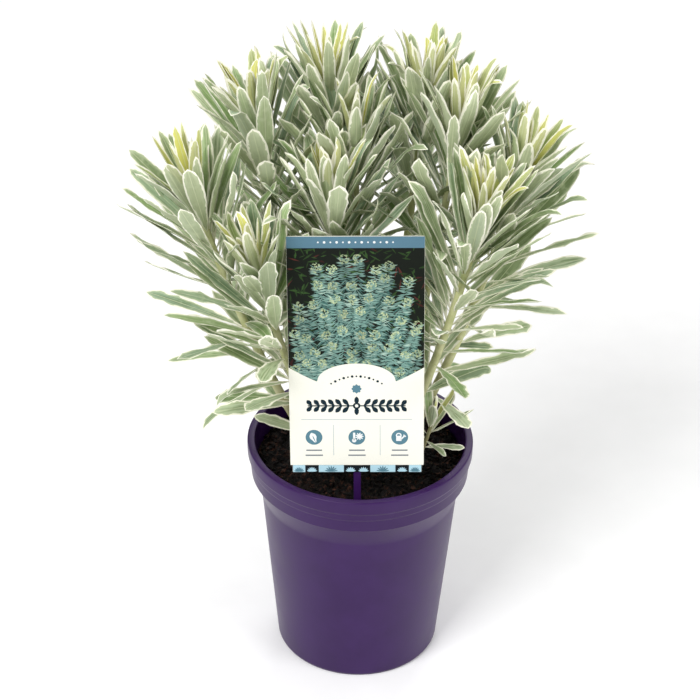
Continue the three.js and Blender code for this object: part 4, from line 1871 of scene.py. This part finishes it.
@dataclass
class Foliage:
    """Poses the leaf blades on the shoots, a piece for each tier."""

    leaf: LivingLeaf
    skin: StemSkin
    label: PlantLabel
    pot: NurseryPot
    law: Leafing = field(default_factory=Leafing)
    match: float = 0.1 * MM  # how near a leaf's tip is to its plain solid's
    lowest_tip: float = 163  # millimetres: no full-size leaf hangs lower over the rim
    thickness: float = 0.35  # of a blade beside its midrib, in millimetres
    rib_depth: float = 0.8
    extra: tuple[float, float, float] = (5, 0.6, 0.7)  # rise with age, most and fall with age
    kept: Point = (1.5, 1.1)  # how many of the law's leaves are young, and their fall with age
    lance_until: Point = (0.32, 0.14)  # the age up to which a leaf is a lance, and its spread
    toothed_from: Point = (0.5, 0.3)  # the age from which it is toothed, and its spread
    stretch: float = 1.17  # factor on the youngest leaf's length
    stretch_loss: float = 0.2  # how much less it is on the oldest leaf
    shift: float = 0.95  # share of the added length by which a leaf starts lower
    breadth_spread: float = 0.2
    curl_degrees: float = 80
    curl_luck: float = 0.55  # a leaf with less luck than this has a straight tip
    young_age: float = 0.3  # up to this age a leaf is folded more and waved less
    fold_degrees: tuple[float, float, float] = (9, 34, 8)  # old leaf's, young leaf's more, spread
    wave_height: float = 0.9
    wave_length: float = 3.1  # over a whole turn in radians
    label_gap: float = 1  # beside the label, in millimetres
    label_top_gap: float = 2
    label_back: float = 4  # the label is clear of leaves down to this far behind its back
    pot_gap: float = 1 * MM

    def build(self) -> None:
        """Grows every shoot."""
        self.material = self.leaf.material()
        self.blades = {form: Blade(form).shape() for form in LeafForm}
        self.from_label = self.label.placement().inverted()
        skin = self.skin.material()
        for number, habit in enumerate(HABITS, start=1):
            stem = Stem(habit)
            dress(stem.mesh(f"stem_of_{habit.name}"), skin, "stem_skin", f"{habit.name}_stem")
            first = 0
            for tier in list(Tier)[:-1] if habit.size == 1 else [Tier.SINGLE]:
                name, until = tier.value
                last = math.floor(until * habit.leaves + 0.5) - 1
                self.grow(number, stem, name, first, last)
                first = last + 1

    def grow(self, number: int, stem: Stem, tier: str, first: int, last: int) -> None:
        """Grows one tier of one shoot.

        Args:
            number: The shoot's number, from one.
            stem: The shoot's stem.
            tier: The tier's name in the frame.
            first: Its youngest leaf.
            last: Its oldest leaf.
        """
        node = f"{stem.habit.name}_{tier}"
        tips = self.tips(node)
        batch = Batch()
        for third in range(3 * first, 3 * (last + 1)):
            index = third / 3
            if not self.is_grown(number, stem.habit, index):
                continue
            posture = self.settled(number, stem, index, tips)
            if posture:
                self.pose(number, stem, posture, batch)
        piece = settle(batch.piece(f"{tier}_of_{stem.habit.name}"), 70, turn_out=False)
        dress(piece, self.material, "leaf_blade", node)

    def is_grown(self, number: int, habit: Habit, index: float) -> bool:
        """Whether a leaf is on the plant.

        Args:
            number: The shoot's number, from one.
            habit: The shoot.
            index: The leaf. A fraction is one of the leaves that crowd between.

        Returns:
            Whether it is there: old ones have dropped, and young ones crowd.
        """
        if habit.size < 1:
            return index % 1 == 0
        age = index / habit.leaves
        rise, most, fall = self.extra
        many, loss = self.kept
        fullness = min(rise * age, most - fall * age) if index % 1 else many - loss * age
        return 0.5 + 0.5 * chance_of(number, index, 41) < fullness

    def tips(self, node: str) -> kdtree.KDTree:
        """Gathers the vertices of a node, to look leaf tips up in.

        Args:
            node: Name of the node.

        Returns:
            A tree of its vertices, in metres.
        """
        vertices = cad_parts[node].data.vertices
        tree = kdtree.KDTree(len(vertices))
        for vertex in vertices:
            tree.insert(vertex.co, vertex.index)
        tree.balance()
        return tree

    def settled(
        self, number: int, stem: Stem, index: float, tips: kdtree.KDTree
    ) -> Posture | None:
        """The posture that the frame gave a leaf, or a free one where the frame left it out.

        Args:
            number: The shoot's number, from one.
            stem: The shoot's stem.
            index: The leaf.
            tips: The vertices of its tier's node.

        Returns:
            The posture, or None where there is no room.
        """
        tries = [
            self.law.posture(number, stem.habit, index, attempt)
            for attempt in range(self.law.tries)
        ]
        if stem.habit.size == 1:
            tries = [p for p in tries if self.law.tip(stem, p).z > self.lowest_tip]
        for posture in tries:
            if tips.find(self.law.tip(stem, posture) * MM)[2] < self.match:
                return posture
        return next((posture for posture in tries if self.has_room(stem, posture)), None)

    def has_room(self, stem: Stem, posture: Posture) -> bool:
        """Whether a leaf stays off the label, out of its view and out of the pot.

        Args:
            stem: The shoot's stem.
            posture: The leaf's posture.

        Returns:
            Whether all of it is clear of them.
        """
        start, outward, along, flank = self.law.axes(stem, posture)
        label = self.label
        for share in np.linspace(0.1, 1.12, 10):
            middle = posture.lift + posture.bend * share / 2
            reach = share * posture.length
            centre = start + (outward * math.sin(middle) + along * math.cos(middle)) * reach
            for side in (-1, 0, 1):
                point = (centre + flank * (side * posture.width / 2)) * MM
                x, y, z = (self.from_label @ point) / MM
                beside = abs(x) > label.width / 2 + self.label_gap
                top = label.clearance + label.height + self.label_top_gap
                over = y > top + max(0.0, z) * 0.5
                if z > -self.label_back and not beside and not over:
                    return False
                within = math.hypot(point.x, point.y) < self.pot.rim_radius + self.pot_gap
                if within and point.z < self.pot.height + self.pot_gap:
                    return False
        return True

    def form(self, number: int, posture: Posture) -> LeafForm:
        """The shape that a leaf of this age has.

        Args:
            number: The shoot's number, from one.
            posture: The leaf's posture.

        Returns:
            The form.
        """
        luck = chance_of(number, posture.index, 21)
        end, end_spread = self.lance_until
        start, start_spread = self.toothed_from
        if posture.age < end + end_spread * luck:
            return LeafForm.LANCE
        is_toothed = posture.age > start + start_spread * luck
        return LeafForm.TOOTHED if is_toothed else LeafForm.SPATULATE

    def pose(self, number: int, stem: Stem, posture: Posture, batch: Batch) -> None:
        """Bends, folds, waves and twists a flat blade into a leaf on its stem.

        Args:
            number: The shoot's number, from one.
            stem: The shoot's stem.
            posture: The leaf's posture.
            batch: The tier's leaves, which it joins.
        """

        def luck(use: int) -> float:
            """The leaf's chance for a use."""
            return chance_of(number, posture.index, use)

        blade = self.blades[self.form(number, posture)]
        start, outward, along, flank = (np.array(v) for v in self.law.axes(stem, posture))
        length = posture.length * (self.stretch - self.stretch_loss * posture.age)
        # A leaf starts inside the stem's skin.
        start = start - outward * (stem.radius(posture.place) * 0.5 + 0.6)
        start = start - along * max(0.0, self.shift * (length - posture.length))
        share, under = blade.points[:, 1], blade.points[:, 2]
        # The blade's right lies on the flank's left, which keeps its faces outwards.
        breadth = stem.habit.breadth + self.breadth_spread * luck(30)
        x = -blade.points[:, 0] * posture.width * breadth
        row = share.round(3)
        limit = np.array([np.abs(x[row == r]).max() for r in row])
        side = np.abs(x) / np.maximum(limit, 0.01)
        edge = np.minimum(limit - np.abs(x), (1 - share) * length)

        # The middle line: the frame's arc, and a tip that curls on some leaves.
        steps = np.linspace(0, 1, 41)
        curled = max(0.0, luck(31) - self.curl_luck) / (1 - self.curl_luck)
        tip_curl = math.radians(self.curl_degrees) * curled
        tip_curl *= 1 if luck(32) > -0.4 else -0.6
        angle = posture.lift + posture.bend * steps
        angle = angle + tip_curl * smooth_step(steps, 0.7, 1.0) ** 1.4
        halfway = (angle[1:] + angle[:-1]) / 2
        reach = length / (len(steps) - 1)
        out = np.concatenate([[0], np.cumsum(np.sin(halfway))]) * reach
        up = np.concatenate([[0], np.cumsum(np.cos(halfway))]) * reach
        here, out, up = (np.interp(share, steps, values) for values in (angle, out, up))

        # The section: a channel, deepest on young leaves, with a wavy margin.
        young = 1 - clamp(posture.age / self.young_age)
        least, more, spread = self.fold_degrees
        fold = math.radians(least + more * young + spread * luck(33)) * (1 - 0.55 * share)
        wave = self.wave_height * (1 - young) * (0.4 + 0.6 * abs(luck(34)))
        phase = 6 * luck(35) + np.sign(x) * (1.2 + luck(36))
        ripple = wave * side**2 * np.sin(share * posture.length / self.wave_length + phase)
        raised = np.abs(x) * np.sin(fold) + ripple * smooth_step(share, 0.1, 0.5)
        rib = self.rib_depth * (1 - side) * (1 - 0.7 * share)
        raised = raised - under * (self.thickness + rib)

        turn = posture.twist * share
        sideways = x * np.cos(fold) * np.cos(turn) + raised * np.sin(turn)
        above = raised * np.cos(turn) - x * np.cos(fold) * np.sin(turn)
        normal = np.outer(np.sin(here), along) - np.outer(np.cos(here), outward)
        posed = start + np.outer(out, outward) + np.outer(up, along)
        posed = posed + np.outer(sideways, flank) + normal * above[:, None]
        tone = 0.5 + 0.5 * luck(22)
        traits = np.stack([np.full_like(share, posture.age), np.full_like(share, tone), under], 1)
        batch.add(blade, posed * MM, leaf=np.stack([edge, np.abs(x), share], 1), growth=traits)


# ---- Studio -------------------------------------------------------------------------------------
@dataclass(frozen=True)
class Lamp:
    """A soft square lamp aimed at the plant."""

    name: str
    place: tuple[float, float, float]
    size: float
    watts: float


@dataclass
class Studio:
    """A white floor, soft light and the camera."""

    paper: StudioPaper
    lamps: tuple[Lamp, ...] = (
        Lamp("key_light", (-1.0, -1.3, 1.8), 1.1, 38),
        Lamp("fill_light", (1.5, -0.9, 1.1), 1.0, 14),
        Lamp("back_light", (0.3, 1.4, 1.5), 1.0, 9),
    )
    sky_strength: float = 0.52
    floor_side: float = 8.0
    camera_place: tuple[float, float, float] = (0.0, -1.2293, 1.0096)
    camera_target: tuple[float, float, float] = (-0.00725, 0.02987, 0.19442)
    camera_roll: float = 0.80
    lens: float = 124.36
    sensor: float = 36
    lamp_target: tuple[float, float, float] = (0.0, 0.0, 0.2)

    def build(self) -> None:
        """Sets the floor, the lights, the camera and a plain rendering of colour."""
        bpy.context.scene.view_settings.view_transform = "Standard"
        self.floor()
        self.sky()
        for lamp in self.lamps:
            self.hang(lamp)
        self.camera()

    def floor(self) -> None:
        """The wide white floor."""
        deselect_all()
        bpy.ops.mesh.primitive_grid_add(x_subdivisions=8, y_subdivisions=8, size=self.floor_side)
        floor = settle(started("studio_floor"), None)
        floor.data.materials.append(self.paper.material())

    def sky(self) -> None:
        """Even white light from all round."""
        world = bpy.data.worlds.new("studio_light")
        world.use_nodes = True
        background = world.node_tree.nodes["Background"]
        background.inputs["Color"].default_value = linear("#FFFFFF")
        background.inputs["Strength"].default_value = self.sky_strength
        bpy.context.scene.world = world

    def hang(self, lamp: Lamp) -> None:
        """Hangs a lamp and aims it at the middle of the plant.

        Args:
            lamp: The lamp.
        """
        light = bpy.data.lights.new(lamp.name, "AREA")
        light.size = lamp.size
        light.energy = lamp.watts
        holder = bpy.data.objects.new(lamp.name, light)
        bpy.context.scene.collection.objects.link(holder)
        holder.location = lamp.place
        aim = Vector(self.lamp_target) - Vector(lamp.place)
        holder.rotation_euler = aim.to_track_quat("-Z", "Y").to_euler()

    def camera(self) -> None:
        """The camera, looking down on the rim with a long lens."""
        data = bpy.data.cameras.new("studio_camera")
        data.lens = self.lens
        data.sensor_width = self.sensor
        camera = bpy.data.objects.new("studio_camera", data)
        bpy.context.scene.collection.objects.link(camera)
        camera.location = self.camera_place
        aim = Vector(self.camera_target) - Vector(self.camera_place)
        turn = aim.to_track_quat("-Z", "Y").to_matrix()
        turn = turn @ Matrix.Rotation(math.radians(self.camera_roll), 3, "Z")
        camera.rotation_euler = turn.to_euler()
        bpy.context.scene.camera = camera


def main() -> None:
    """Builds the studio and the plant in order."""
    logging.basicConfig(level=logging.INFO, format="%(name)s %(message)s")
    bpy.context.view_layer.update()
    Studio(StudioPaper()).build()
    plastic = MouldedPolypropylene()
    pot = NurseryPot(plastic)
    pot.build()
    PottingMix(BarkMix(), pot).build()
    label = PlantLabel(plastic, PrintedCard())
    label.build()
    Foliage(LivingLeaf(), StemSkin(), label, pot).build()


if __name__ == "__main__":
    main()
